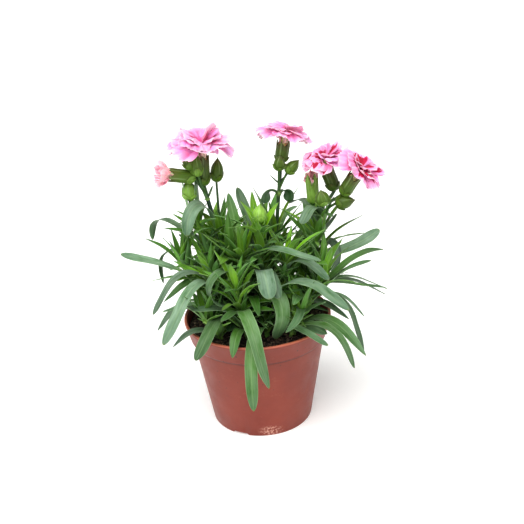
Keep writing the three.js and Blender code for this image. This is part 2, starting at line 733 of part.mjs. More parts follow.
const bandOut = potRadius(BAND_BOTTOM + 0.01);
const wallOut = potRadius(BAND_BOTTOM);
const potProfile = [
  [0, 0], [BOSS_RADIUS, 0], [BOSS_RADIUS + 1.5, UNDERCUT],
  [FOOT_RADIUS - FOOT_RING - 1.4, UNDERCUT], [FOOT_RADIUS - FOOT_RING, 0], [FOOT_RADIUS, 0],
  [potRadius(UNDERCUT) + 0.6, UNDERCUT], [wallOut, BAND_BOTTOM - 0.6], [bandOut, BAND_BOTTOM + 0.4],
  [RIM_RADIUS, POT_HEIGHT - RIM_EDGE], [RIM_RADIUS, POT_HEIGHT - 0.4],
  [RIM_RADIUS - 0.4, POT_HEIGHT], [RIM_RADIUS - RIM_EDGE, POT_HEIGHT],
  [bandOut - WALL, BAND_BOTTOM + 1], [INSIDE_TOP, COLLAR_ROOT], [INSIDE_FOOT, FLOOR], [0, FLOOR],
];

// A cut that stands upright on the foot, moved out from the middle along an azimuth.
function cutAt({ points, faces }, azimuth, distance) {
  const turn = THREE.MathUtils.degToRad(azimuth);
  const out = unit(azimuth, 0).multiplyScalar(distance);
  const upright = new THREE.Vector3(0, 0, 1);
  return solid(points.map((p) => p.clone().applyAxisAngle(upright, turn).add(out)), faces);
}

const potSkin = turned(potProfile, POT_SIDES);
let pot = solid(potSkin.points, potSkin.faces);
const drain = turned([[0, -1], [DRAIN_RADIUS, -1], [DRAIN_RADIUS, FLOOR + 1], [0, FLOOR + 1]], DRAIN_SIDES);
for (let i = 0; i < DRAINS; i++) {
  pot = pot.subtract(cutAt(drain, FIRST_DRAIN + 360 * i / DRAINS, DRAIN_CIRCLE));
}
const notch = skinOf(new THREE.BoxGeometry(2 * FOOT_RING, NOTCH_WIDTH, 2 * NOTCH_HEIGHT));
for (let i = 0; i < NOTCHES; i++) {
  pot = pot.subtract(cutAt(notch, FIRST_NOTCH + 360 * i / NOTCHES, FOOT_RADIUS));
}
add('pot', pot, terracottaPlastic);

// ---- The soil ----

const soilEdge = potRadius(SOIL_TOP) - WALL - 2 * SEAT;
const soilProfile = [
  [0, FLOOR + SEAT], [insideRadius(FLOOR) - 3 * SEAT, FLOOR + SEAT],
  [insideRadius(COLLAR_ROOT - 1) - SEAT, COLLAR_ROOT - 1], [INSIDE_TOP - SEAT, BAND_BOTTOM],
  [soilEdge - 0.8, SOIL_TOP - 1.6], [soilEdge - 2.4, SOIL_TOP],
  [34, SOIL_TOP], [22, SOIL_TOP], [10, SOIL_TOP], [0, SOIL_TOP],
];
const soilSkin = turned(soilProfile, SOIL_SIDES);
for (const point of soilSkin.points) {
  if (point.z < SOIL_TOP - 0.1) continue;
  const swell = Math.sin(0.31 * point.x + 1.3) * Math.sin(0.27 * point.y - 0.4);
  const crumb = Math.sin(0.83 * point.x - 0.7 * point.y);
  point.z += SOIL_RELIEF * (swell + crumb / 2);
}
let soil = solid(soilSkin.points, soilSkin.faces);
for (const { path, radius } of Object.values(stems)) {
  const { point, along, up } = path[0];
  const hole = [-SEAT, 2 * PLANTED].map((depth) => (
    ringAround(point.clone().addScaledVector(along, depth), along, up, radius + SEAT, STEM_SIDES)
  ));
  soil = soil.subtract(loft(hole));
}
add('soil', soil, pottingSoil);

// ---- Shoots and blooms ----

for (const name of Object.keys(SHOOTS)) {
  const solids = [loft(tubeRings(stems[name], STEM_STATIONS, STEM_SIDES))];
  for (const stalk of stalks[name]) {
    solids.push(stalk.kind === 'calyx' ? calyxSolid(stalk) : budSolid(stalk));
  }
  for (const leaf of leaves) {
    if (leaf.name === name) solids.push(leafSolid(leaf.sections));
  }
  add(`shoot_${name}`, wholeBody(join(solids)), stalks[name].length ? youngLeaf : glaucousLeaf);
}

const pick = draws(SEED + 1);
for (const [name, [shoot, stalk, radius, droop]] of Object.entries(BLOOMS)) {
  const { path, head: [azimuth, rise, length, calyxRadius] } = stalks[shoot][stalk];
  const whorls = name.startsWith('half') ? HALF_WHORLS : OPEN_WHORLS;
  const plug = calyxRadius - CALYX_WALL - SEAT;
  const [{ side, up, along }] = grow(new THREE.Vector3(), 1, azimuth, rise);
  const rim = path.at(-1).point.clone().addScaledVector(along, length);
  const tilt = new THREE.Matrix4().makeBasis(side, up.clone().negate(), along).setPosition(rim);
  const petals = bloomSolid(radius, droop, whorls, plug, pick);
  add(name, petals.transform(tilt.elements), pinkPetal);
}

export default part;
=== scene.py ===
import math
import random
from collections import namedtuple

import bmesh
import bpy
from mathutils import Matrix, Vector, kdtree, noise


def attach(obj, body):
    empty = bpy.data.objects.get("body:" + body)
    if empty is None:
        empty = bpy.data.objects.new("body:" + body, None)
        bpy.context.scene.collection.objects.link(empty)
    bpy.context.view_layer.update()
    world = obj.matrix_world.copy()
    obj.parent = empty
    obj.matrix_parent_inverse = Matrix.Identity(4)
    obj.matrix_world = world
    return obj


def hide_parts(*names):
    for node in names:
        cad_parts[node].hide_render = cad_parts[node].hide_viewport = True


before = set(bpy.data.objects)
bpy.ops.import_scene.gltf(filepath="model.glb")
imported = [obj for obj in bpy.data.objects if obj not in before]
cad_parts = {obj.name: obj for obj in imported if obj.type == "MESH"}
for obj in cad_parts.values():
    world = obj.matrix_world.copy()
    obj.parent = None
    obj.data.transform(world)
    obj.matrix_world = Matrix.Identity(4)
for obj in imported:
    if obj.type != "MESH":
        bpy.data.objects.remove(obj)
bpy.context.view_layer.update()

MM = 0.001
UPRIGHT = Vector((0, 0, 1))

# ---- The solids' own dimensions ----

POT_HEIGHT = 80
RIM_RADIUS = 52.5
FOOT_RADIUS = 36.2
WALL = 1.5
BAND_BOTTOM = 65
BAND_STEP = 1.6
FLARE = 0.24
RIM_EDGE = 1.8
FLOOR = 3.4
UNDERCUT = 2
FOOT_RING = 3.6
BOSS_RADIUS = 9
DRAINS = 5
DRAIN_RADIUS = 3.2
DRAIN_CIRCLE = 24
FIRST_DRAIN = 120
NOTCHES = 3
NOTCH_WIDTH = 12
NOTCH_HEIGHT = 1.6
FIRST_NOTCH = 242
SOIL_TOP = 75
SOIL_RELIEF = 0.6
SEAT = 0.3
PLANTED = 8
STEPS = 24
STEEPEST_LEAF = 86

# Shoots. Foot x and y, length, azimuth, rise, change of rise, radius.
SHOOTS = {
    "front": (6, -27, 88, 99, 84, 0, 1.7),
    "flower_left": (0, 3, 110, 189, 70, -8, 1.8),
    "flower_back": (6, 16, 108, 8, 80, -4, 1.6),
    "flower_right": (22, -2, 98, 356, 67, -14, 1.8),
    "bud_left": (-14, 5, 103, 199, 71, -6, 1.4),
    "left": (-24, 0, 62, 180, 66, 5, 1.5),
    "left_front": (-13, -15, 56, 200, 72, 5, 1.5),
    "left_low": (-22, -22, 34, 225, 55, 0, 1.4),
    "right": (24, -14, 58, 340, 68, 10, 1.5),
    "right_front": (19, -25, 36, 310, 60, 0, 1.4),
    "right_back": (26, 14, 66, 30, 68, 5, 1.5),
    "centre": (-3, -12, 66, 235, 82, 0, 1.5),
    "centre_right": (13, -16, 62, 320, 80, 0, 1.5),
    "front_left": (-7, -27, 52, 240, 76, 0, 1.4),
    "back_left": (-16, 20, 60, 130, 72, 5, 1.5),
    "back": (4, 30, 56, 85, 76, 5, 1.5),
}

# Leaves that give the outline. Place along the stem, azimuth, rise, length, width, change of
# rise, where that change is centred, change of azimuth, twist, and then age (0 old and waxy,
# 1 young and yellow-green).
LEAVES = {
    "left": [
        (0.85, 178, 28, 49, 7, 16, 0.35, -12, 20, 0.1),
        (0.7, 158, 84, 64, 6.5, 180, 0.5, 0, 0, 0.12),
    ],
    "flower_left": [
        (0.6, 174, 26, 83, 6, 127, 0.76, -64, 0, 0.2),
        (0.33, 255, 62, 80, 8.5, 0, 0.4, 20, 0, 0.85),
        (0.33, 181, 62, 52, 7.5, 13, 0.5, 0, 0, 0.8),
        (0.28, 162, 53, 62, 7.5, 28, 0.6, -7, 0, 0.3),
        (0.25, 200, 58, 58, 7, 25, 0.4, -3, 0, 0.75),
        (0.75, 218, 73, 56, 9, 146, 0.56, 28, 55, 0.05),
    ],
    "left_front": [
        (0.95, 202, 56, 58, 8, 112, 0.35, 3, 0, 0.08),
        (0.8, 234, 80, 72, 9.5, 128, 0.25, -9, 0, 0.08),
        (0.3, 240, 60, 63, 9.5, 90, 0.3, -3, 0, 0.45),
        (0.3, 192, 61, 55, 5, 73, 0.4, -7, 0, 0.25),
    ],
    "front_left": [
        (0.5, 264, 86, 79, 9.5, 160, 0.26, 70, 0, 0.45),
        (0.3, 240, 85, 47, 7, 83, 0.4, 6, 0, 0.6),
        (0.3, 211, 64, 49, 8, 60, 0.49, -16, 0, 0.3),
    ],
    "centre": [
        (0.15, 250, 71, 65, 8, 86, 0.32, -23, 0, 0.45),
        (0.3, 191, 42, 47, 8, 55, 0.52, 1, 0, 0.3),
        (0.75, 226, 32, 66, 7, 190, 0.6, -42, 0, 0.35),
        (0.9, 329, 56, 67, 7.5, 66, 0.33, 6, 0, 0.1),
        (0.9, 106, 49, 57, 7.5, 16, 0.42, 1, 0, 0.6),
    ],
    "front": [
        (0.15, 250, 37, 88, 8.5, 130, 0.42, 15, 0, 0.5),
        (0.38, 296, 66, 66, 11, 186, 0.4, 0, 0, 0.45),
        (0.75, 130, 60, 54, 8, 135, 0.46, -14, 0, 0.2),
        (0.55, 270, 58, 52, 11.5, 90, 0.45, 8, 0, 0),
        (0.5, 283, 60, 50, 8, 96, 0.5, 0, 0, 0.12),
        (0.4, 315, 43, 81, 10, 72, 0.53, 4, 0, 0.12),
        (0.15, 316, 42, 55, 6, 59, 0.34, 7, 0, 0.3),
        (0.6, 110, 64, 70, 7, 36, 0.44, -6, 0, 0.25),
        (0.75, 99, 48, 62, 6.5, 40, 0.5, -9, 0, 0.9),
    ],
    "right": [
        (0.6, 330, 48, 66, 5, 119, 0.3, -14, 0, 0.25),
        (0.6, 348, 28, 45, 4.5, 81, 0.4, 7, 0, 0.2),
        (0.75, 7, 39, 57, 8, 60, 0.71, 18, 0, 0.55),
        (0.45, 349, 50, 59, 7, 43, 0.72, 5, 0, 0.45),
    ],
    "centre_right": [
        (0.75, 315, 76, 54, 8, 106, 0.45, 1, 0, 0.05),
        (0.3, 287, 35, 56, 10, 61, 0.46, -37, 0, 0.45),
        (0.3, 340, 23, 65, 6, 64, 0.49, -128, 0, 0.35),
        (0.75, 67, 40, 67, 6, 43, 0.45, 10, 0, 0.8),
    ],
    "right_front": [
        (0.6, 320, 24, 61, 6.5, 91, 0.49, 2, 0, 0.45),
    ],
    "right_back": [
        (0.3, 349, 52, 64, 4, 62, 0.21, 11, 0, 0.4),
        (0.75, 7, 3, 54, 9, -20, 0.55, 19, -40, 0.1),
        (0.9, 316, 44, 42, 8.5, 153, 0.36, -4, 0, 0.08),
    ],
    "flower_right": [
        (0.45, 349, 85, 51, 10, 33, 0.44, 10, 0, 0.4),
        (0.9, 224, 82, 31, 9, 125, 0.41, 6, 0, 0.12),
        (0.75, 119, 80, 56, 6, 110, 0.45, -5, 0, 0.1),
    ],
    "flower_back": [
        (0.9, 190, 48, 18, 9.5, 134, 0.42, 0, -70, 0.02),
        (0.9, 13, 44, 16, 8, 150, 0.41, 2, 60, 0.2),
        (0.2, 88, 80, 92, 6, 61, 0.41, -15, 0, 0.75),
        (0.4, 69, 60, 66, 5, 70, 0.52, -5, 0, 0.5),
    ],
}

# Crossed pairs that fill each shoot. Pairs, first azimuth, lowest and highest place along the
# stem, leaf length low and high, rise low and high, and then the age of the middle pair.
PAIRS = {
    "front": (5, 20, 0.2, 0.9, 46, 32, 36, 66, 0.85),
    "flower_left": (5, 75, 0.18, 0.66, 72, 42, 32, 66, 0.7),
    "flower_back": (5, 30, 0.13, 0.6, 72, 36, 30, 60, 0.75),
    "flower_right": (5, 100, 0.14, 0.7, 72, 38, 28, 64, 0.6),
    "bud_left": (5, 110, 0.16, 0.82, 62, 28, 36, 70, 0.65),
    "left": (5, 180, 0.2, 0.97, 52, 32, 34, 66, 0.6),
    "left_front": (5, 245, 0.2, 0.97, 44, 32, 38, 68, 0.6),
    "left_low": (3, 190, 0.36, 0.95, 38, 28, 36, 60, 0.4),
    "right": (5, -40, 0.2, 0.97, 66, 32, 36, 66, 0.65),
    "right_front": (3, 300, 0.36, 0.95, 38, 28, 36, 60, 0.5),
    "right_back": (5, 10, 0.18, 0.97, 72, 34, 34, 64, 0.6),
    "centre": (5, 10, 0.22, 0.97, 52, 34, 34, 72, 0.85),
    "centre_right": (5, 45, 0.22, 0.97, 50, 34, 34, 70, 0.8),
    "front_left": (5, 70, 0.3, 0.97, 38, 30, 36, 68, 0.85),
    "back_left": (5, 130, 0.2, 0.97, 72, 34, 34, 62, 0.6),
    "back": (5, 85, 0.22, 0.97, 66, 30, 34, 62, 0.65),
}
PAIR_AZIMUTH_SPREAD = 24
PAIR_RISE_SPREAD = 14
PAIR_WIDTHS = (8.8, 5.8)
PAIR_BENDS = (88, 28)
PAIR_TWIST_SPREAD = 70
INWARD_LIFT = 22
INWARD_SHORTENING = 0.22
INWARD_STRAIGHTENING = 0.5

# The places that a leaf tries until it passes its neighbours: turn, lift, share of length.
TURNS = [
    (0, 0, 1), (6, 2, 1), (-6, 2, 1), (0, 8, 1), (0, -8, 1), (0, 15, 1), (13, 5, 1),
    (-13, 5, 1), (22, 4, 1), (-22, 4, 1), (0, 20, 0.9), (32, 8, 0.9), (-32, 8, 0.9),
    (12, 30, 0.8), (-12, 30, 0.8), (46, 14, 0.8), (-46, 14, 0.8), (0, 10, 0.6),
    (30, 20, 0.6), (-30, 20, 0.6), (0, 34, 0.5),
]
TIP_MATCH = 0.4  # a leaf's tip lies this near a corner of its solid

# Stalks with their heads. Place along the stem, azimuth, rise, length, change of rise, radius,
# what the head is, its azimuth, rise, length and radius, and then the age of its green.
STALKS = {
    "front": [
        (1, 295, 87, 2, 0, 1.4, "bud", 0, 84, 12, 4.8, 1),
    ],
    "flower_left": [
        (1, 241, 77, 7, 0, 1.5, "calyx", 298, 87, 18, 4.5, 0.3),
        (0.62, 117, 82, 48, -8, 1, "bud", 10, 83, 16, 4.3, 0.35),
        (0.96, 218, 74, 20, 20, 1.1, "calyx", 192, 13, 15, 4.7, 0.55),
        (1, 222, 56, 23, -10, 1, "bud", 186, 78, 15, 4, 0.4),
        (1, 246, 55, 18, -10, 1, "bud", 225, 85, 16, 3.7, 0.5),
    ],
    "flower_back": [
        (1, 357, 84, 12, 0, 1.4, "calyx", 0, 80, 12, 4.8, 0.4),
        (0.9, 276, 75, 19, 0, 0.9, "bud", 311, 79, 11, 3.9, 0.5),
        (0.93, 350, 63, 13, 0, 0.9, "bud", 0, 45, 12, 4.1, 0.65),
    ],
    "flower_right": [
        (1, 30, 30, 13, -20, 1.4, "calyx", 175, 70, 15, 4.8, 0.25),
        (1, 343, 26, 16, -10, 1.3, "calyx", 333, 57, 14, 4.8, 0.4),
        (0.86, 118, 46, 15, -20, 1.1, "calyx", 150, 87, 12.5, 4.4, 0.95),
        (0.95, 273, 41, 10, -10, 1, "bud", 224, 77, 11, 4.8, 0.6),
        (0.92, 336, 53, 14, 20, 1.1, "bud", 351, 10, 13, 4.7, 0.4),
    ],
    "bud_left": [
        (1, 85, 86, 4, 0, 1.2, "bud", 264, 86, 14, 5, 0.85),
    ],
}

# Age of the stems' green.
LEAFY_STEM_AGE = 0.75
STEM_AGES = {
    "front": 0.8, "flower_left": 0.02, "flower_back": 0.15, "flower_right": 0.15, "bud_left": 0.3,
}

# Broad young leaves that cup a bud: place along the stem, azimuth, rise, length, width, change of
# rise, age.
CUPS = {
    "front": [
        (0.985, 200, 56, 12, 11, -30, 1), (0.985, 20, 56, 12, 11, -30, 0.95),
        (0.99, 285, 50, 10, 11, -30, 1), (0.99, 110, 60, 10, 10, -20, 1),
        (0.86, 230, 72, 16, 9, -12, 0.95), (0.86, 50, 78, 16, 9, -8, 0.9),
    ],
    "bud_left": [(0.84, 192, 64, 37, 10, -20, 0.35), (0.84, 345, 84, 38, 10, -6, 0.3)],
    "flower_back": [(0.97, 205, 40, 10, 2.4, -8, 0.1), (0.97, 20, 35, 9, 2.4, -8, 0.1)],
    "flower_left": [(0.97, 20, 55, 9, 3, -8, 0.5), (0.97, 200, 60, 8, 3, -8, 0.5)],
    "flower_right": [(0.95, 320, -20, 9, 4, -8, 0.5)],
}

# Petals of each open calyx: the shoot and its stalk that they stand on, their radius, how many
# degrees further over they bend, how far the full petals spread beside the solid's, the azimuth
# and angle by which the whole flower leans, how strong the crimson eye is (below zero: how much
# of the cream of a bud is left), and how many small petals fill the middle.
BLOOMS = {
    "bloom_left": ("flower_left", 0, 25, 6, 1.02, 250, 4, 0.8, 2),
    "bloom_back": ("flower_back", 0, 19.5, 22, 1.06, 90, 12, 0.15, 0),
    "bloom_right": ("flower_right", 0, 14.5, 9, 1.18, 330, 14, 1.5, 2),
    "bloom_right_low": ("flower_right", 1, 15, 0, 1.2, 300, 4, 1.8, 1),
    "half_bloom_left": ("flower_left", 2, 8, 30, 1.25, 0, 0, 0, 7),
    "half_bloom_right": ("flower_right", 2, 6.4, -10, 0.9, 0, 0, -0.5, 6),
}
# Whorls. Petals, their length and width beside the bloom's radius, change of rise, ruffle,
# first azimuth, and the feet's distance and height on the plug.
OPEN_WHORLS = [(5, 0.92, 1.12, 84, 0.7, 10, 0.62, 0.3), (4, 0.62, 0.8, 58, 0.7, 40, 0.25, 4.6)]
HALF_WHORLS = [(4, 0.9, 1, 22, 0.5, 10, 0.5, 0.3)]
PETAL_RISE = 80
CLAW = 5
CLAW_SHARE = 0.1
FAN_START = 0.22
LAP = 2.2
RECESS = 4
CALYX_WALL = 0.9
TOOTH = 3.2
YOUNG_TOOTH = 9  # on a calyx that has only begun to open
PLUG_PROFILE = [(-RECESS + SEAT, 1), (0.4, 1), (2, 0.55), (7.5, 0.45)]
SEED = 7

# ---- What the finer pieces add ----

LEAF_THICKNESS = 0.55
MARGIN_WAVE = 0.55  # how far a leaf's margin waves out of its plane
RIPPLE = 13  # length of those waves
# Painted shade of hanging leaves, taken off their tone:
HANGING_PAINTED_SHADE = 0.9  # taken off the tone of a leaf whose tip points straight down
BLUNT = 0.76  # where an old leaf begins to narrow to its blunt end
POINTED = 0.42  # where a young leaf begins to narrow to its point
SLIMMING = 0.16  # how much slimmer a young leaf is than its solid
CHANNEL = 0.85  # depth of the channel along a leaf
KEEL = 0.35  # depth of the midrib
KEEL_WIDTH = 0.16  # beside the leaf's half width
TIP_HALF = 0.16  # half width that a tip keeps
UNEVENNESS = 0.05  # share of the width by which a leaf widens and narrows
LEAF_ACROSS = 9  # points across a leaf
SMALL_ACROSS = 5
LEAF_STATIONS = [0, 0.02, 0.045, 0.075, 0.11, 0.15, 0.2] + [
    0.2 + 0.6 * i / 11 for i in range(1, 12)
] + [0.835, 0.87, 0.9, 0.925, 0.945, 0.962, 0.976, 0.987, 0.995, 1]
CLASP = 0.15  # share of a leaf that wraps the stem at its foot
CLASP_WIDTH = 1.2  # half width of the foot beside the stem's radius
CLASP_DEPTH = 1.4  # depth of the foot beside the stem's radius
LEAF_FOOT = 5  # steps of a leaf's foot that don't count as in another's way
TUFT_FOOT = 9  # steps of a small leaf's foot that may touch others
# Youngest leaves at the tip of each leafy shoot: length, width, rise, distance down the stem.
TIP_PAIRS = [(33, 5.8, 66, 3), (27, 5, 74, 1.2), (18, 3.6, 80, 0)]
# Draws of a shoot that aren't for its numbered leaves.
HEAD_DRAWS = 500
CUP_DRAWS = 600
TUFT_DRAWS = 700
# Tufts of small leaves in the joints: leaves in each, their length, width and rise.
TUFT = 8
TUFT_TRIES = 3
TUFT_LENGTHS = (16, 42)
TUFT_WIDTHS = (4, 6.4)
TUFT_RISES = (30, 80)
TUFT_RADIUS = 58  # small leaves end inside this radius and under this height
TUFT_TOP = 166
ELBOW_ROOM = 2.4  # what a tuft's leaf keeps clear of the middles of the others
# Leaves inside this radius and under this height get painted shade: they are painted dark green and
# lose their wax.
SHADE_RADIUS = 46
SHADE_TOP = 138
SHADE_EDGE = 26  # how far in from the radius it takes to reach full shade
SHADE_FADE = 36  # how far down from the top it takes
STEM_SIDES = 14
STEM_STEP = 1.2
STEM_TAPER = 0.25
NODE_SWELLING = 0.38
NODE_REACH = 1.5
BUD_SIDES = 40
# Share of radius at each share of a bud's or calyx's length.
BUD_OUTLINE = [
    (-0.03, 0.3), (0, 0.45), (0.05, 0.66), (0.12, 0.82), (0.22, 0.95), (0.34, 1), (0.46, 1),
    (0.58, 0.93), (0.68, 0.8), (0.77, 0.63), (0.85, 0.44), (0.91, 0.28), (0.96, 0.15), (1.03, 0.03),
]
CALYX_OUTLINE = [
    (-0.03, 0.3), (0, 0.5), (0.05, 0.68), (0.12, 0.82), (0.22, 0.91), (0.36, 0.96),
    (0.52, 0.98), (0.68, 0.97), (0.82, 0.97), (0.92, 0.98), (1, 1),
]
SEPALS = 5
SEAM_WIDTH = 0.05  # beside a sepal's width
SEAM_DEPTH = 0.07  # beside the head's radius
BRACT_STATIONS = (0, 0.15, 0.3, 0.45, 0.6, 0.72, 0.83, 0.92, 1)
BRACT_ACROSS = 7
BRACT_THICKNESS = 0.35
PETAL_THICKNESS = 0.35
PETAL_ROWS = 15
PETAL_COLUMNS = 44
PETAL_TEETH = 12
TOOTH_DEPTH = 0.05  # notches in a petal's margin, beside its length
FULL_ROUNDING = 0.17  # how far the corners of a fringed fan fall short of its middle
FULL_AT = 0.6  # how much of the petal's length the fan takes to reach its full width
PLEATS = (3, 6)  # radians of folding across half a petal
PLEAT_DEPTHS = (0.03, 0.065)  # beside the petal's width
CREASES = (13, 19)
CREASE_DEPTHS = (0.007, 0.014)
CURLS = (-0.12, 0.08)
HALF_CURLS = (0.15, 0.4)  # petals of a half open bloom still curl inwards
HALF_SINK = 1.8  # and stand deeper in their calyx
HALF_PLUG = 0.25  # share of the plug's height in a half open bloom
LOOSENESS = 11  # degrees that a petal may bend further or less than its whorl
# A whorl between the solid's two, and small petals in the middle: share of radius long and wide,
# change of rise, foot's distance and height on the plug.
BETWEEN = (4, 0.8, 0.95, 72, 0.45, 2)
GOLDEN_ANGLE = 137.5
PLUG_SIDES = 24
INNER_PETALS = [
    (0.74, 0.8, 46, 0.3, 4), (0.66, 0.7, 16, 0.2, 4.5), (0.6, 0.75, 40, 0.3, 5),
    (0.62, 0.66, 26, 0.2, 4.5), (0.5, 0.6, 34, 0.2, 5), (0.46, 0.55, 10, 0.15, 5),
    (0.62, 0.7, 52, 0.35, 4.5),
]
POT_SEGMENTS = 144
POT_SHARP = 35  # edges that turn by more than this many degrees stay sharp
FILLET_STEPS = 4
WALL_RIPPLE = 0.22
RIM_RIPPLE = 0.25
SCUFF_PLACE = (5 * MM, -37 * MM, 8 * MM)  # in a space stretched upwards by the flatness
SCUFF_FLATNESS = 1.9
SOIL_RINGS = 44
SOIL_LUMPS = [(1.1, 5, 3), (0.7, 1.9, 7)]  # height, width and layer of noise
CRUMBS = 950
SMALLEST_CRUMB = 0.35  # radius before it is stretched
CRUMB_RANGE = 0.95
CRUMB_RISE = 0.25  # share of its radius that a crumb's middle lies above the soil
CRUMB_STRETCH = [(0.8, 1.7), (0.7, 1.1), (0.6, 1)]
CRUMB_PALENESS = (0, 0, 0, 0, 0.12, 0.25)
PERLITE_EVERY = 40
PERLITE_PALENESS = 0.9
TABLE_GLOW = 0.3

# ---- Growth, by the same rules as the solids ----

Step = namedtuple("Step", "point along side up")


def mix(a, b, share):
    """The value a share of the way from a to b."""
    return a + (b - a) * share


def smooth(x):
    """0 below 0, 1 above 1, and a soft rise between."""
    x = min(1, max(0, x))
    return x * x * (3 - 2 * x)


def unit(azimuth, rise):
    """The direction of an azimuth and a rise."""
    a, e = math.radians(azimuth), math.radians(rise)
    return Vector((math.cos(e) * math.cos(a), math.cos(e) * math.sin(a), math.sin(e)))


def grow(start, length, azimuth, rise, bend=0, at=0.5, sweep=0, span=0.8):
    """A curve whose rise changes by bend around the share at, and whose azimuth turns by sweep."""

    def heading(s):
        return unit(azimuth + sweep * s, rise - bend * smooth((s - at) / span + 0.5))

    point = start.copy()
    path = []
    for i in range(STEPS + 1):
        along = heading(i / STEPS)
        a = math.radians(azimuth + sweep * i / STEPS)
        side = Vector((math.sin(a), -math.cos(a), 0))
        path.append(Step(point.copy(), along, side, side.cross(along)))
        point += heading((i + 0.5) / STEPS) * length / STEPS
    return path


def step_at(path, share):
    """The path's point, direction, side and upper normal at a share of its length."""
    x = min(1, max(0, share)) * STEPS
    i = min(int(x), STEPS - 1)
    a, b = path[i], path[i + 1]
    return Step(*(p.lerp(q, x - i) for p, q in zip(a, b)))


def draws(seed):
    """Seeded draws between 0 and 1, the same as the solids'."""
    mask = 0xFFFFFFFF
    state = seed
    while True:
        state = (state + 0x6D2B79F5) & mask
        t = ((state ^ (state >> 15)) * (state | 1)) & mask
        t ^= (t + (((t ^ (t >> 7)) * (t | 61)) & mask)) & mask
        yield ((t ^ (t >> 14)) & mask) / 4294967296


def leaf_width(s, youth):
    """Share of a leaf's width: a strap with a blunt point when old, a spear when young."""
    shoulder = mix(BLUNT, POINTED, youth)
    taper = max(0, (s - shoulder) / (1 - shoulder))
    return min(1, 0.12 + 3.5 * s) * (1 - taper ** mix(2.4, 1.7, youth)) ** mix(0.55, 0.9, youth)


# ---- Meshes ----


def new_object(name, data):
    """An object of its own in the scene."""
    thing = bpy.data.objects.new(name, data)
    bpy.context.scene.collection.objects.link(thing)
    return thing


class Skin:
    """Points and faces for one mesh, and what its materials read at each point:
    place (across -1 to 1, along 0 to 1, upper face 1 or lower face -1), span (metres across,
    metres along, a shift for patterns) and look (age, tone, and a third value of its own)."""

    def __init__(self):
        self.points = []
        self.faces = []
        self.finishes = []
        self.marks = {"place": [], "span": [], "look": []}

    def point(self, position, place=(0, 0, 1), span=(0, 0, 0), look=(0, 0, 0)):
        self.points.append(position)
        for values, value in zip(self.marks.values(), (place, span, look)):
            values.append(value)
        return len(self.points) - 1

    def face(self, corners, finish):
        self.faces.append(corners)
        self.finishes.append(finish)

    def join_rings(self, rings, finish):
        """Faces between rings that run anticlockwise seen from the far end."""
        for a, b in zip(rings, rings[1:]):
            for i in range(len(a)):
                j = (i + 1) % len(a)
                self.face((a[i], a[j], b[j], b[i]), finish)

    def close_disc(self, ring, finish, far):
        """A fan over a round ring, facing the far end or the near one."""
        middle = sum((self.points[i] for i in ring), Vector()) / len(ring)
        centre = self.point(middle, *(values[ring[0]] for values in self.marks.values()))
        for a, b in zip(ring, ring[1:] + ring[:1]):
            self.face((a, b, centre) if far else (b, a, centre), finish)

    def close_flat(self, ring, finish, far):
        """Faces over a flattened ring, whose lower half lies under its upper half."""
        last = len(ring) - 1
        for k in range(len(ring) // 2 - 1):
            corners = (ring[k], ring[k + 1], ring[last - k - 1], ring[last - k])
            self.face(corners if far else corners[::-1], finish)

    def round_solid(self, rings, finish=0):
        """Round rings closed at both ends."""
        self.join_rings(rings, finish)
        self.close_disc(rings[0], finish, far=False)
        self.close_disc(rings[-1], finish, far=True)

    def blade(self, rows, finish=0):
        """A thin closed sheet. Each row runs from side -1 to side 1 and holds, for each point,
        its position, upper normal, thickness, (across, along), span and look."""
        rings = []
        for row in rows:
            upper, lower = [], []
            for position, up, thickness, place, span, look in row:
                offset = up * (thickness / 2)
                upper.append(self.point(position + offset, (*place, 1), span, look))
                lower.append(self.point(position - offset, (*place, -1), span, look))
            rings.append(lower[::-1] + upper)
        self.join_rings(rings, finish)
        self.close_flat(rings[0], finish, far=False)
        self.close_flat(rings[-1], finish, far=True)

    def piece(self, name, materials, sharp):
        """The mesh as an object of its own, in metres."""
        mesh = bpy.data.meshes.new(name)
        mesh.from_pydata([p * MM for p in self.points], [], self.faces)
        for key, values in self.marks.items():
            attribute = mesh.attributes.new(key, "FLOAT_VECTOR", "POINT")
            attribute.data.foreach_set("vector", [x for value in values for x in value])
        for material in materials:
            mesh.materials.append(material)
        mesh.polygons.foreach_set("material_index", self.finishes)
        mesh.polygons.foreach_set("use_smooth", [True] * len(self.faces))
        mesh.set_sharp_from_angle(angle=math.radians(sharp))
        mesh.update()
        return new_object(name, mesh)


def ring_around(centre, along, reference, radius, sides):
    """Points round an axis and the angle of each, from the side that reference points to."""
    up = (reference - along * reference.dot(along)).normalized()
    side = along.cross(up)
    for i in range(sides):
        a = 2 * math.pi * i / sides
        yield a, centre + up * (radius * math.cos(a)) + side * (radius * math.sin(a))


# ---- Materials ----


def srgb(code):
    """A hex colour turned to linear light."""
    channels = [int(code[i:i + 2], 16) / 255 for i in (1, 3, 5)]
    linear = [c / 12.92 if c <= 0.04045 else ((c + 0.055) / 1.055) ** 2.4 for c in channels]
    return (*linear, 1)


def add(tree, kind, inputs=(), **settings):
    """Adds a shader node with its settings. Inputs come by name, or as a list in the order that
    the node shows them (MapRange: value, from low, from high, to low, to high. TexNoise: place,
    scale, detail, roughness). Each takes a value, a socket, or a node, which stands for its
    first output in use."""
    node = tree.nodes.new("ShaderNode" + kind)
    for key, value in settings.items():
        setattr(node, key, value)
    shown = [socket for socket in node.inputs if socket.enabled]
    if isinstance(inputs, dict):
        pairs = [(next(s for s in shown if s.name == key), v) for key, v in inputs.items()]
    else:
        pairs = zip(shown, inputs)
    for socket, value in pairs:
        if isinstance(value, bpy.types.Node):
            value = next(s for s in value.outputs if s.enabled)
        if isinstance(value, bpy.types.NodeSocket):
            tree.links.new(value, socket)
        else:
            socket.default_value = value
    return node


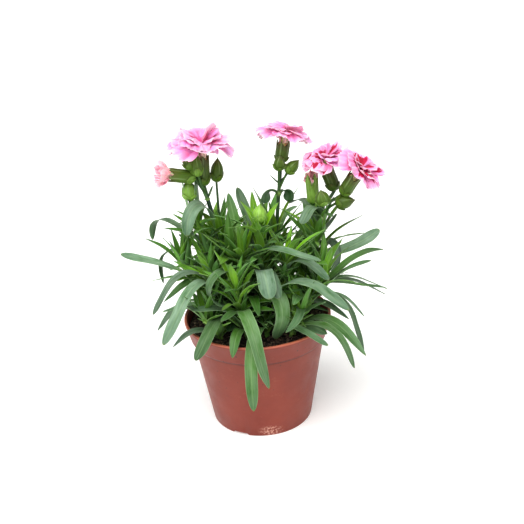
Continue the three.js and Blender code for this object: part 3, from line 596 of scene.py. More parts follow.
def new_material(name, solid=False):
    """A material, its empty shader tree, and the place that its patterns read: the mesh's span
    or, where they run through a solid thing, the object's own space."""
    material = bpy.data.materials.new(name)
    material.use_nodes = True
    tree = material.node_tree
    tree.nodes.clear()
    if solid:
        return material, tree, add(tree, "TexCoord").outputs["Object"]
    return material, tree, add(tree, "Attribute", attribute_name="span").outputs["Vector"]


def finish_material(material, relief, **inputs):
    """Ends a material in its surface shader. Relief is a height, its strength and its depth in
    millimetres. Underscores in the names stand for spaces."""
    tree = material.node_tree
    inputs = {key.replace("_", " "): value for key, value in inputs.items()}
    if relief:
        height, strength, depth = relief
        inputs["Normal"] = add(tree, "Bump", {
            "Height": height, "Strength": strength, "Distance": depth * MM,
        })
    add(tree, "OutputMaterial", {"Surface": add(tree, "BsdfPrincipled", inputs)})
    return material


def read_mark(tree, name):
    """X, Y and Z of a mark that the mesh holds."""
    mark = add(tree, "Attribute", attribute_name=name)
    return add(tree, "SeparateXYZ", [mark.outputs["Vector"]]).outputs


def per_metre(across, along):
    """How many grains of a size in millimetres come in a metre of a mesh's span. The span's
    third value, a shift, is only turned back to millimetres."""
    return 1 / (across * MM), 1 / (along * MM), 1 / MM


def blend_stops(tree, share, stops):
    """A colour that runs through stops of (share, hex colour)."""
    ramp = add(tree, "ValToRGB", [share])
    elements = ramp.color_ramp.elements
    while len(elements) < len(stops):
        elements.new(0.5)
    for element, (position, code) in zip(elements, stops):
        element.position = position
        element.color = srgb(code)
    return ramp


def coat(tree, colour, layers):
    """A colour under layers of (share, hex colour), each laid over those before it."""
    for share, code in layers:
        colour = add(tree, "Mix", [share, colour, srgb(code)], data_type="RGBA")
    return colour


def toned(tree, colour, tone, amount, pattern):
    """A colour brightened and darkened by the mesh's tone and by a pattern."""
    brightness = add(tree, "Math", [tone, amount, pattern], operation="MULTIPLY_ADD")
    return add(tree, "HueSaturation", {"Value": brightness, "Color": colour})


def leaf_blade():
    """Living leaf under a cuticle of pale wax crystals: matt blue-green where the wax is whole,
    darker and glossier where it is rubbed, bright yellow-green and barely waxed when young."""
    material, tree, span = new_material("waxy_leaf_grown")
    across, along, face = read_mark(tree, "place")
    age, tone, shade = read_mark(tree, "look")
    # Veins run lengthwise 0.9 mm apart and fork every few centimetres.
    vein_place = add(tree, "VectorMath", [span, per_metre(0.9, 38)], operation="MULTIPLY")
    veins = add(tree, "TexNoise", [vein_place, 1, 1.5])
    # Wax lies in patches about a centimetre long. Young leaves have less, and deep in the foliage
    # it is taken off as part of the painted shade.
    patch_place = add(tree, "VectorMath", [span, per_metre(4, 13)], operation="MULTIPLY")
    patches = add(tree, "TexNoise", [patch_place, 1, 4, 0.6])
    wax_share = add(tree, "MapRange", [patches, 0.3, 0.72, 0.08, 0.56])
    wax_left = add(tree, "Math", [age, -1.1, 1], operation="MULTIPLY_ADD")
    wax_outside_painted_shade = add(tree, "Math", [wax_left, shade], operation="SUBTRACT", use_clamp=True)
    wax = add(tree, "Math", [wax_share, wax_outside_painted_shade], operation="MULTIPLY", use_clamp=True)
    rubbed = add(tree, "MapRange", [patches, 0.44, 0.3, 0, 0.42])
    # Painted shade: deep in the foliage the leaf is painted dark green.
    painted_shade = add(tree, "MapRange", [shade, 0, 1, 0, 0.8])
    foot = add(tree, "MapRange", [along, 0.3, 0.03, 0, 0.55], interpolation_type="SMOOTHSTEP")
    # The outer half, oldest on a leaf, is duller, and the very tip is dry.
    weathered = add(tree, "MapRange", [along, 0.45, 1, 0, 0.5])
    dry = add(tree, "MapRange", [along, 0.975, 1, 0, 0.6])
    off_middle = add(tree, "Math", [across], operation="ABSOLUTE")
    midrib = add(tree, "MapRange", [off_middle, 0.13, 0.03, 0, 0.22])
    margin = add(tree, "MapRange", [off_middle, 0.9, 1, 0, 0.4])
    under = add(tree, "MapRange", [face, 0.4, -0.4, 0, 0.3])
    colour = coat(tree, blend_stops(tree, age, [
        (0, "#567858"), (0.25, "#4E7642"), (0.5, "#4C7A22"), (0.75, "#56900A"), (1, "#80B010"),
    ]), [
        (wax, "#B8CDB6"), (rubbed, "#3B6A1E"), (painted_shade, "#316602"), (foot, "#7AA526"),
        (weathered, "#44644E"), (midrib, "#A4BF88"), (margin, "#B2CBA0"), (under, "#5E8A4E"),
        (dry, "#7E8A4E"),
    ])
    vein_share = add(tree, "MapRange", [veins, 0.35, 0.68, 0.86, 1.1])
    # Tone darkens and brightens the colour; on hanging leaves it carries painted shade.
    return finish_material(
        material, (veins, 0.6, 0.12), Base_Color=toned(tree, colour, tone, 0.26, vein_share),
        Roughness=add(tree, "MapRange", [wax, 0, 1, 0.4, 0.62]), IOR=1.42, Specular_IOR_Level=0.3,
        Sheen_Weight=0.05, Sheen_Roughness=0.5)


def stem_skin():
    """Round green stem under the same wax as the leaves: dark on old flower stems, pale and
    yellow-green at the joints where the leaves part."""
    material, tree, span = new_material("waxy_stem_grown")
    age, _, joint = read_mark(tree, "look")
    # Wax lies in streaks 1.5 mm wide and 12 mm long.
    streak_place = add(tree, "VectorMath", [span, per_metre(1.5, 12)], operation="MULTIPLY")
    streaks = add(tree, "TexNoise", [streak_place, 1, 3])
    wax = add(tree, "MapRange", [streaks, 0.45, 0.72, 0, 0.4])
    colour = coat(tree, srgb("#22382B"), [(age, "#66962A"), (wax, "#5E7F68"), (joint, "#9DBF62")])
    return finish_material(material, (streaks, 0.5, 0.1), Base_Color=colour, Roughness=0.5,
                           IOR=1.42, Sheen_Weight=0.05)


def calyx_skin():
    """Leathery green sepals grown into a ribbed cup: olive, brighter where young, with a dull
    brown flush at the tips and fine ribs from end to end."""
    material, tree, span = new_material("ribbed_calyx_grown")
    _, along, _ = read_mark(tree, "place")
    age, tone, seam = read_mark(tree, "look")
    # Ribs stand 0.7 mm apart round the cup.
    rib_place = add(tree, "VectorMath", [span, per_metre(0.7, 9)], operation="MULTIPLY")
    ribs = add(tree, "TexNoise", [rib_place, 1])
    rib_share = add(tree, "MapRange", [ribs, 0.3, 0.7, 0.74, 1.2])
    # Blotches are a few millimetres across.
    blotch_place = add(tree, "VectorMath", [span, per_metre(3, 5)], operation="MULTIPLY")
    blotch = add(tree, "TexNoise", [blotch_place, 1, 3])
    blotches = add(tree, "MapRange", [blotch, 0.45, 0.7, 0, 0.5])
    # The flush covers the last third and fades on young cups.
    flush = add(tree, "MapRange", [along, 0.62, 1, 0, 0.75], interpolation_type="SMOOTHSTEP")
    fading = add(tree, "Math", [age, -0.9, 1], operation="MULTIPLY_ADD")
    flushed = add(tree, "Math", [flush, fading], operation="MULTIPLY")
    colour = coat(
        tree, blend_stops(tree, age, [(0, "#2B360A"), (0.6, "#50701A"), (1, "#8AB54C")]),
        [(blotches, "#54691C"), (flushed, "#54472C"), (seam, "#A9C48A")])
    return finish_material(
        material, (ribs, 0.7, 0.15), Base_Color=toned(tree, colour, tone, 0.15, rib_share),
        Roughness=0.48, IOR=1.42, Sheen_Weight=0.04)


def petal_tissue(name, stops, valley_shade_colour, ridge_highlight_colour, under_colour):
    """Thin velvety petal: pale greenish claw, deep pink throat with crimson streaks, lilac-pink
    fan with fine veins, and a bleached margin. One that hasn't opened is cream and salmon."""
    material, tree, span = new_material(name)
    across, along, face = read_mark(tree, "place")
    lilac, tone, eye = read_mark(tree, "look")
    # Veins fan out 0.6 mm apart.
    vein_place = add(tree, "VectorMath", [span, per_metre(0.6, 14)], operation="MULTIPLY")
    veins = add(tree, "TexNoise", [vein_place, 1])
    vein_share = add(tree, "MapRange", [veins, 0.3, 0.7, 0.93, 1.04])
    # Colour runs in clouds 6 mm across.
    cloud_place = add(tree, "VectorMath", [span, per_metre(6, 7)], operation="MULTIPLY")
    clouds = add(tree, "TexNoise", [cloud_place, 1, 3])
    shifted = add(tree, "Math", [clouds, 0.24, along], operation="MULTIPLY_ADD")
    lilac_share = add(tree, "MapRange", [clouds, 0.42, 0.62, 0, 0.8])
    lilac_clouds = add(tree, "Math", [lilac_share, lilac], operation="MULTIPLY")
    # Painted shade makes the folds deep pink in their valleys, and a painted highlight bleaches
    # their ridges.
    painted_valley_shade = add(tree, "MapRange", [tone, 0.1, -1, 0, 0.5])
    painted_ridge_highlight = add(tree, "MapRange", [tone, 0.1, 1, 0, 0.55])
    under = add(tree, "MapRange", [face, 0.4, -0.4, 0, 0.6])
    # Crimson streaks 1.8 mm wide start in the throat and end raggedly on the fan.
    streak_place = add(tree, "VectorMath", [span, per_metre(1.8, 30)], operation="MULTIPLY")
    streaks = add(tree, "TexNoise", [streak_place, 1, 1])
    reach = add(tree, "Math", [eye, -0.2, along], operation="MULTIPLY_ADD")
    ragged = add(tree, "Math", [streaks, 0.8, reach], operation="MULTIPLY_ADD")
    streak_end = add(tree, "MapRange", [ragged, 0.86, 0.8])
    streak_start = add(tree, "MapRange", [along, 0.3, 0.36])
    off_middle = add(tree, "Math", [across], operation="ABSOLUTE")
    streak_width = add(tree, "MapRange", [off_middle, 0.75, 0.4])
    streak = streak_end
    for share in (streak_start, streak_width):
        streak = add(tree, "Math", [streak, share], operation="MULTIPLY")
    crimson = add(tree, "Math", [streak, eye], operation="MULTIPLY", use_clamp=True)
    margin = add(tree, "MapRange", [along, 0.9, 1, 0, 0.5])
    colour = coat(tree, blend_stops(tree, shifted, stops), [
        (painted_valley_shade, valley_shade_colour), (painted_ridge_highlight, ridge_highlight_colour),
        (lilac_clouds, "#F5A2EE"), (under, under_colour),
        (crimson, "#B8083A"), (margin, "#FFDCEE"),
    ])
    # The folds' painted shade and highlight also darken and brighten the whole colour a little.
    return finish_material(
        material, (veins, 0.5, 0.12), Base_Color=toned(tree, colour, tone, 0.08, vein_share),
        Roughness=0.6, IOR=1.4, Sheen_Weight=0.2, Sheen_Roughness=0.4, Subsurface_Weight=0.45,
        Subsurface_Radius=(1, 0.4, 0.6), Subsurface_Scale=3 * MM)


def thin_polypropylene():
    """Thin injection-moulded polypropylene, terracotta-coloured: satin, a little cloudy in colour,
    with painted light along its rim, where light would come through it, painted shade in the crease
    under the collar, and potting dust and handling scuffs."""
    material, tree, place = new_material("moulded_polypropylene_terracotta", solid=True)
    height = add(tree, "SeparateXYZ", [place]).outputs["Z"]
    # Flow marks from moulding, 28 mm across.
    flow = add(tree, "TexNoise", [place, 1 / (28 * MM), 4, 0.55])
    clouds = add(tree, "MapRange", [flow, 0.35, 0.65])
    # The last millimetre and a half of the rim is painted lighter, as painted light that comes
    # through the thin plastic.
    rim_low, rim_high = (POT_HEIGHT - 1.6) * MM, (POT_HEIGHT - 0.5) * MM
    rim = add(tree, "MapRange", [height, rim_low, rim_high, 0, 0.75])
    # Painted shade darkens the crease under the collar.
    from_crease = add(tree, "Math", [height, (BAND_BOTTOM - 0.6) * MM], operation="SUBTRACT")
    crease_gap = add(tree, "Math", [from_crease], operation="ABSOLUTE")
    crease = add(tree, "MapRange", [crease_gap, 1.5 * MM, 0.2 * MM, 0, 0.6],
                 interpolation_type="SMOOTHSTEP")
    # Dust clings as a pale film in ragged patches of half a centimetre, which are duller too.
    dusty = add(tree, "TexNoise", [place, 1 / (11 * MM), 6, 0.7])
    dust = add(tree, "MapRange", [dusty, 0.58, 0.8, 0, 0.3])
    roughness = add(tree, "MapRange", [dusty, 0.3, 0.7, 0.36, 0.58])
    # A flat scuff low on the front where the pot was dragged, with grains of 1.6 mm.
    flattened = add(tree, "VectorMath", [place, (1, 1, SCUFF_FLATNESS)], operation="MULTIPLY")
    from_scuff = add(tree, "VectorMath", [flattened, SCUFF_PLACE], operation="DISTANCE")
    scuff_core = add(tree, "MapRange", [from_scuff, 11 * MM, 3 * MM],
                     interpolation_type="SMOOTHSTEP")
    scuff_grain = add(tree, "TexNoise", [place, 1 / (1.6 * MM), 4, 0.7])
    scuff_marks = add(tree, "MapRange", [scuff_grain, 0.48, 0.6])
    scuff = add(tree, "Math", [scuff_core, scuff_marks], operation="MULTIPLY")
    # Specks of wet peat, 0.2 mm across at the foot and 1.4 mm at the rim.
    specks = add(tree, "TexVoronoi", {"Vector": place, "Scale": 1 / (5.5 * MM)})
    speck_size = add(tree, "MapRange", [height, 10 * MM, POT_HEIGHT * MM, 0.02, 0.13])
    speck = add(tree, "Math", [specks, speck_size], operation="LESS_THAN")
    # The rim's colour is painted light and the crease's is painted shade.
    colour = coat(tree, srgb("#7B2E1E"), [
        (clouds, "#873826"), (rim, "#C8745A"), (crease, "#4A1A12"), (dust, "#B07A68"),
        (scuff, "#D2A391"), (speck, "#4A2A20"),
    ])
    # Mould texture of 0.7 mm, barely felt.
    texture = add(tree, "TexNoise", [place, 1 / (0.7 * MM)])
    return finish_material(
        material, (texture, 0.25, 0.05), Base_Color=colour, Roughness=roughness, IOR=1.49,
        Coat_Weight=0.08, Coat_Roughness=0.35)


def peat_mix():
    """Moist peat and bark: nearly black and brown crumbs without gloss, and a few pale grains of
    perlite."""
    material, tree, place = new_material("moist_peat_loose", solid=True)
    perlite, _, _ = read_mark(tree, "look")
    # Crumbs of 1.2 mm, each with a colour of its own.
    crumbs = add(tree, "TexVoronoi", {"Vector": place, "Scale": 1 / (1.2 * MM)})
    crumb_tone = add(tree, "SeparateColor", [crumbs.outputs["Color"]])
    brown = add(tree, "MapRange", [crumb_tone, 0.45, 1])
    # Damp patches are about a centimetre across, and grit is 0.8 mm.
    wet = add(tree, "TexNoise", [place, 1 / (9 * MM), 4])
    damp = add(tree, "MapRange", [wet, 0.45, 0.65, 0, 0.6])
    grit = add(tree, "TexNoise", [place, 1 / (0.8 * MM), 5, 0.7])
    colour = coat(tree, srgb("#1D1613"), [
        (brown, "#6E5A4A"), (damp, "#241A16"), (perlite, "#B9A78E"),
    ])
    return finish_material(material, (grit, 1, 0.5), Base_Color=colour, Roughness=0.92, IOR=1.35)


def light_table():
    """Opal acrylic sheet lit from below, as under products: even, white and matt."""
    material, tree, place = new_material("cast_acrylic_opal", solid=True)
    # Haze varies over 6 mm.
    haze = add(tree, "TexNoise", [place, 1 / (6 * MM)])
    return finish_material(
        material, None, Base_Color=srgb("#E4E4E2"),
        Roughness=add(tree, "MapRange", [haze, 0, 1, 0.85, 0.95]),
        Emission_Color=(1, 1, 1, 1), Emission_Strength=TABLE_GLOW)


PLANT_MATERIALS = [leaf_blade(), stem_skin(), calyx_skin()]
ON_LEAF, ON_STEM, ON_CALYX = range(3)
# After its stops, each petal material takes the colours of the painted shade in the folds' valleys,
# of the painted highlight on their ridges, and of its underside.
OPEN_PETAL = petal_tissue("velvet_petal_grown", [
    (0.16, "#D6D88A"), (0.34, "#F6B494"), (0.5, "#F4629A"), (0.68, "#FD94CA"), (0.88, "#FFA4D4"),
    (1, "#FFB8DE"),
], "#F04E94", "#FFCEE8", "#FFCCC8")
SHUT_PETAL = petal_tissue("velvet_petal_unopened", [
    (0.2, "#EFEFC0"), (0.5, "#FFBCB4"), (0.75, "#FF98B2"), (1, "#FFBCCE"),
], "#E04E74", "#FFE4E8", "#FFC0C4")


def dress(thing, node):
    """The piece stands for the CAD node and rides with the whole object."""
    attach(thing, "root")
    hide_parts(node)


# ---- Stems, leaves and heads ----

Stalk = namedtuple("Stalk", "share path length radius kind head age")
Head = namedtuple("Head", "base along reference length radius age outline")


def leaf_path(root, row):
    """The midline of a leaf. Its row is azimuth, rise, length, width, change of rise, where that
    change is centred, change of azimuth and twist."""
    azimuth, rise, length, _, bend, at, sweep, _ = row
    return grow(root, length, azimuth, rise, bend, at, sweep)


def in_shade(point):
    """How deep a point lies in the shade of the foliage."""
    inside = smooth((SHADE_RADIUS - math.hypot(point.x, point.y)) / SHADE_EDGE)
    return inside * smooth((SHADE_TOP - point.z) / SHADE_FADE)


def leaf(skin, root, row, stem_radius, age, youth, chance, small=False):
    """A strap-shaped leaf with a shallow channel: it clasps the stem at its foot, keeps its
    width and ends blunt or acute, and its margins wave a little."""
    _, _, length, width, *_, twist = row
    width *= 1 - SLIMMING * youth
    path = leaf_path(root, row)
    shift = chance.uniform(0, 90)
    age = min(1, max(0, age))
    # Painted shade: the steeper a leaf hangs, the darker its tone.
    tone = chance.uniform(-1, 1) - HANGING_PAINTED_SHADE * max(0, -path[-1].along.z)
    across = SMALL_ACROSS if small else LEAF_ACROSS
    rows = []
    for s in LEAF_STATIONS[1::2] if small else LEAF_STATIONS:
        step = step_at(path, s)
        turn = Matrix.Rotation(-math.radians(twist * s), 3, step.along)
        side, up = turn @ step.side, turn @ step.up
        clasp = 1 - smooth(s / CLASP)
        half = max(TIP_HALF, width / 2 * leaf_width(s, youth), clasp * CLASP_WIDTH * stem_radius)
        half *= 1 + UNEVENNESS * noise.noise(Vector((6 * s, shift, 1)))
        depth = mix(CHANNEL * (1 - 0.45 * s) * min(1, half / 2.5), CLASP_DEPTH * stem_radius, clasp)
        # The third value tells how much painted shade the leaf gets here.
        look = (age, tone, in_shade(step.point))
        row_points = []
        for i in range(across):
            u = 2 * i / (across - 1) - 1
            ripple = noise.noise(Vector((shift + 2 * u, length / RIPPLE * s, 0.5)))
            lift = -depth * (1 - abs(u) ** 1.7) + MARGIN_WAVE * ripple * u * u * min(1, 6 * s)
            keel = KEEL * math.exp(-((u / KEEL_WIDTH) ** 2)) * (1 - 0.8 * s)
            thickness = LEAF_THICKNESS * (1 - 0.5 * u * u) * (1 - 0.5 * s)
            position = step.point + side * (u * half) + up * (lift - keel / 2)
            span = (u * half * MM, s * length * MM, shift * MM)
            row_points.append((position, up, thickness + keel, (u, s), span, look))
        rows.append(row_points)
    skin.blade(rows, ON_LEAF)


def stem_tube(skin, path, length, radius, joints, age, shift):
    """A round stem or stalk that swells at each joint."""
    rings = []
    count = max(8, int(length / STEM_STEP))
    for k in range(count + 1):
        s = k / count
        step = step_at(path, s)
        swell = sum(math.exp(-(((s - joint) * length / NODE_REACH) ** 2)) for joint in joints)
        swell = min(1, swell)
        here = radius * (1 - STEM_TAPER * s) * (1 + NODE_SWELLING * swell)
        ring = []
        for a, point in ring_around(step.point, step.along, path[0].up, here, STEM_SIDES):
            span = (a * radius * MM, s * length * MM, shift * MM)
            ring.append(skin.point(point, (a / math.pi - 1, s, 1), span, (age, 0, 0.8 * swell)))
        rings.append(ring)
    skin.round_solid(rings, ON_STEM)


def outline_at(outline, share):
    """The radius share of an outline at a share of its length."""
    for (a, ra), (b, rb) in zip(outline, outline[1:]):
        if share <= b:
            return mix(ra, rb, (share - a) / (b - a))
    return outline[-1][1]


def head_of(stalk):
    """The bud or calyx at the end of a stalk."""
    azimuth, rise, length, radius = stalk.head
    end = stalk.path[-1]
    along = unit(azimuth, rise)
    reference = end.along if abs(end.up.dot(along)) > 0.9 else stalk.path[0].up
    outline = BUD_OUTLINE if stalk.kind == "bud" else CALYX_OUTLINE
    return Head(end.point, along, reference, length, radius, stalk.age, outline)


def off_seam(angle):
    """How far an angle is from the nearest seam between sepals, as a share of a sepal."""
    turn = (angle / (2 * math.pi) * SEPALS) % 1
    return min(turn, 1 - turn)


def head_ring(skin, head, height, share, tone, raise_by=None, inside=False):
    """One ring of a head: height above its base in millimetres and share of its radius."""
    ring = []
    centre = head.base + head.along * height
    along_share = min(1, max(0, height / head.length))
    for a, point in ring_around(centre, head.along, head.reference, share * head.radius, BUD_SIDES):
        seam = math.exp(-((off_seam(a) / SEAM_WIDTH) ** 2))
        if not inside:
            fade = smooth((along_share - 0.25) / 0.3)
            point = centre + (point - centre) * (1 - SEAM_DEPTH * seam * fade)
        if raise_by:
            point = point + head.along * raise_by(a)
        span = (a * head.radius * MM, height * MM, head.base.x * MM)
        look = (head.age, tone, 0.35 * seam * smooth((along_share - 0.3) / 0.4))
        ring.append(skin.point(point, (a / math.pi - 1, along_share, 1), span, look))
    return ring


def closed_bud(skin, head, tone):
    """A closed bud: five sepals that meet in a point."""
    rings = [
        head_ring(skin, head, share * head.length, radius, tone) for share, radius in BUD_OUTLINE
    ]
    skin.round_solid(rings, ON_CALYX)


def open_calyx(skin, head, tone):
    """An open calyx: a tube with five teeth round the hollow that the petals stand in."""
    young = smooth((head.age - 0.6) / 0.3)
    tooth = mix(TOOTH, YOUNG_TOOTH, young)

    def tooth_height(angle):
        return tooth * (1 - 2 * off_seam(angle)) ** mix(1.3, 0.7, young)

    length, inner = head.length, 1 - CALYX_WALL / head.radius
    rings = [
        head_ring(skin, head, share * length, radius, tone) for share, radius in CALYX_OUTLINE[:-1]
    ]
    rings += [
        head_ring(skin, head, length, 1, tone, tooth_height),
        head_ring(skin, head, length, inner, tone, tooth_height, inside=True),
        head_ring(skin, head, length - 0.4 * RECESS, inner, tone, inside=True),
        head_ring(skin, head, length - RECESS, inner, tone, inside=True),
    ]
    skin.round_solid(rings, ON_CALYX)


def bract(skin, head, turn, half_turn, height, flare, age, tone):
    """A scale leaf that hugs the foot of a bud or calyx and ends in a point."""
    up = (head.reference - head.along * head.reference.dot(head.along)).normalized()
    side = head.along.cross(up)
    rows = []
    for t in BRACT_STATIONS:
        row = []
        width = max(0.05, (1 - t**2.2) ** 0.75)
        level = t * height
        radius = head.radius * outline_at(head.outline, level) + BRACT_THICKNESS + flare * t * t
        for i in range(BRACT_ACROSS):
            u = 2 * i / (BRACT_ACROSS - 1) - 1
            a = math.radians(turn - u * half_turn * width)
            out = up * math.cos(a) + side * math.sin(a)
            position = head.base + head.along * (level * head.length) + out * (radius - 0.3 * u * u)
            span = (u * head.radius * MM, level * head.length * MM, turn * MM)
            place = (u, 0.4 + 0.6 * t)
            row.append((position, out, BRACT_THICKNESS, place, span, (age, tone, 0)))
        rows.append(row)
    skin.blade(rows, ON_CALYX)


# ---- Shoots ----


def joint_at(name, share):
    """The point at a share of a shoot's stem."""
    return step_at(stems[name], share).point


def stalks_of(name):
    """The stalks of a shoot, each grown from its place on the stem."""
    for share, azimuth, rise, length, bend, radius, kind, *head, age in STALKS.get(name, []):
        path = grow(joint_at(name, share), length, azimuth, rise, bend)
        yield Stalk(share, path, length, radius, kind, head, age)


def searchable(points):
    """Points in a tree that finds the nearest."""
    tree = kdtree.KDTree(len(points))
    for i, point in enumerate(points):
        tree.insert(point, i)
    tree.balance()
    return tree


stems = {
    name: grow(Vector((x, y, SOIL_TOP - PLANTED)), length, azimuth, rise, bend)
    for name, (x, y, length, azimuth, rise, bend, _) in SHOOTS.items()
}
stalks = {name: list(stalks_of(name)) for name in SHOOTS}
corners = {
    name: searchable([v.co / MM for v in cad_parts[f"shoot_{name}"].data.vertices])
    for name in SHOOTS
}


def placed(name, share, row):
    """The row as the solid was placed, or nothing where the leaf found no room."""
    azimuth, rise, length, *rest = row
    for turn, lift, size in TURNS:
        here = (azimuth + turn, min(STEEPEST_LEAF, rise + lift), length * size, *rest)
        tip = leaf_path(joint_at(name, share), here)[-1].point
        if corners[name].find(tip)[2] < TIP_MATCH:
            return here
    return None


leaves = {name: [] for name in SHOOTS}
for name, rows in LEAVES.items():
    for share, *row, age in rows:
        found = placed(name, share, row)
        if found:
            leaves[name].append((share, found, age, min(1, max(0, 2 * (age - 0.45)))))

draw = draws(SEED)
for name, (pairs, first, low, high, long, short, flat, steep, youth) in PAIRS.items():
    outward = SHOOTS[name][3]
    for pair in range(pairs):
        u = pair / (pairs - 1)
        for half in (0, 180):
            azimuth = first + 90 * pair + half + (next(draw) - 0.5) * PAIR_AZIMUTH_SPREAD
            a, b, c, d = (next(draw) for _ in range(4))
            inward = 0.5 - 0.5 * math.cos(math.radians(azimuth - outward))
            share = mix(low, high, u)
            rise = mix(flat, steep, u) + INWARD_LIFT * inward + (a - 0.5) * PAIR_RISE_SPREAD
            length = mix(long, short, u) * (1 - INWARD_SHORTENING * inward) * mix(0.9, 1.1, b)
            width = mix(*PAIR_WIDTHS, u) * mix(0.92, 1.08, c)
            bend = mix(*PAIR_BENDS, u) * (1 - INWARD_STRAIGHTENING * inward) * mix(0.75, 1.25, d)
            twist = (b + d - 1) * PAIR_TWIST_SPREAD
            found = placed(name, share, (azimuth, rise, length, width, bend, 0.45, 0, twist))
            if found:
                age = youth + 0.55 * (u - 0.5) + 0.3 * (a + c - 1)
                leaves[name].append((share, found, age, mix(0.55, 1, u)))

crowd = searchable([
    step.point for name, rows in leaves.items() for share, row, _, _ in rows
    for step in leaf_path(joint_at(name, share), row)[LEAF_FOOT:]
])


def own_chance(shoot_index, number):
    """A generator of its own for each leaf, so that one leaf's change leaves the others be."""
    return random.Random(1000 * shoot_index + number)


def has_room(root, row):
    """Whether a small leaf passes between the large ones, and stays over the soil and inside
    the foliage."""
    path = leaf_path(root, row)
    tip = path[-1].point
    if math.hypot(tip.x, tip.y) > TUFT_RADIUS or tip.z > TUFT_TOP:
        return False
    return all(
        crowd.find(step.point)[2] > ELBOW_ROOM and step.point.z > SOIL_TOP + 3
        for step in path[TUFT_FOOT:]
    )


def tufts(skin, index, name, joints):
    """Small young leaves that grow in the joints of a shoot, where there is room."""
    for number, share in enumerate(joints):
        chance = own_chance(index, TUFT_DRAWS + number)
        root = joint_at(name, share)
        turn = chance.uniform(0, 360)
        for k in range(TUFT):
            for _ in range(TUFT_TRIES):
                row = (turn + 360 * k / TUFT + chance.uniform(-25, 25),
                       chance.uniform(*TUFT_RISES), chance.uniform(*TUFT_LENGTHS),
                       chance.uniform(*TUFT_WIDTHS), chance.uniform(0, 45), 0.5,
                       chance.uniform(-20, 20), chance.uniform(-40, 40))
                if has_room(root, row):
                    leaf(skin, root, row, 1, chance.uniform(0.6, 1), 1, chance, small=True)
                    break


def youngest_leaves(skin, name, chance):
    """Crossed pairs at the very tip of a leafy shoot."""
    length, radius = SHOOTS[name][2], SHOOTS[name][6]
    turn = chance.uniform(0, 180)
    for number, (long, wide, steep, down) in enumerate(TIP_PAIRS):
        for half in (0, 180):
            azimuth = turn + 90 * number + half + chance.uniform(-12, 12)
            row = (azimuth, steep + chance.uniform(-3, 3), long * chance.uniform(0.85, 1.1),
                   wide, 18, 0.6, 0, chance.uniform(-15, 15))
            leaf(skin, joint_at(name, 1 - down / length), row, radius * 0.7,
                 chance.uniform(0.7, 1), 1, chance)


def stalk_with_head(skin, number, stalk, stem_age, chance):
    """A stalk, its bud or open calyx, and two pairs of bracts at the head's foot."""
    head = head_of(stalk)
    tone = chance.uniform(-0.6, 0.6)
    joints = [0] if stalk.share < 1 else []
    stem_tube(skin, stalk.path, stalk.length, stalk.radius, joints,
              mix(stem_age, stalk.age, 0.6), 31 * number)
    if stalk.kind == "bud":
        closed_bud(skin, head, tone)
    else:
        open_calyx(skin, head, tone)
    turn = chance.uniform(0, 360)
    for k in range(4):
        inner = k % 2
        bract(skin, head, turn + 90 * k, 52 - 8 * inner, 0.42 - 0.08 * inner,
              0.3 + 0.5 * chance.random(), min(1, stalk.age + 0.25), tone)


def shoot(index, name):
    """A stem with its leaves and tufts, and its stalks and cups or its youngest leaves."""
    skin = Skin()
    length, radius = SHOOTS[name][2], SHOOTS[name][6]
    stem_age = STEM_AGES.get(name, LEAFY_STEM_AGE)
    joints = sorted({round(share, 3) for share, *_ in leaves[name]})
    stem_tube(skin, stems[name], length, radius, joints, stem_age, 17 * index)
    for number, (share, row, age, youth) in enumerate(leaves[name]):
        leaf(skin, joint_at(name, share), row, radius * (1 - STEM_TAPER * share), age, youth,
             own_chance(index, number))
    tufts(skin, index, name, joints)
    chance = own_chance(index, CUP_DRAWS)
    for share, azimuth, rise, cup_length, cup_width, bend, age in CUPS.get(name, []):
        row = (azimuth, rise, cup_length, cup_width, bend, 0.3, 0, 0)
        leaf(skin, joint_at(name, share), row, radius * 0.75, age, 0.5, chance)
    chance = own_chance(index, HEAD_DRAWS)
    if not stalks[name]:
        youngest_leaves(skin, name, chance)
    for number, stalk in enumerate(stalks[name]):
        stalk_with_head(skin, number, stalk, stem_age, chance)
    dress(skin.piece(f"{name}_shoot", PLANT_MATERIALS, sharp=55), f"shoot_{name}")


for index, name in enumerate(SHOOTS):
    shoot(index, name)

# ---- Petals ----


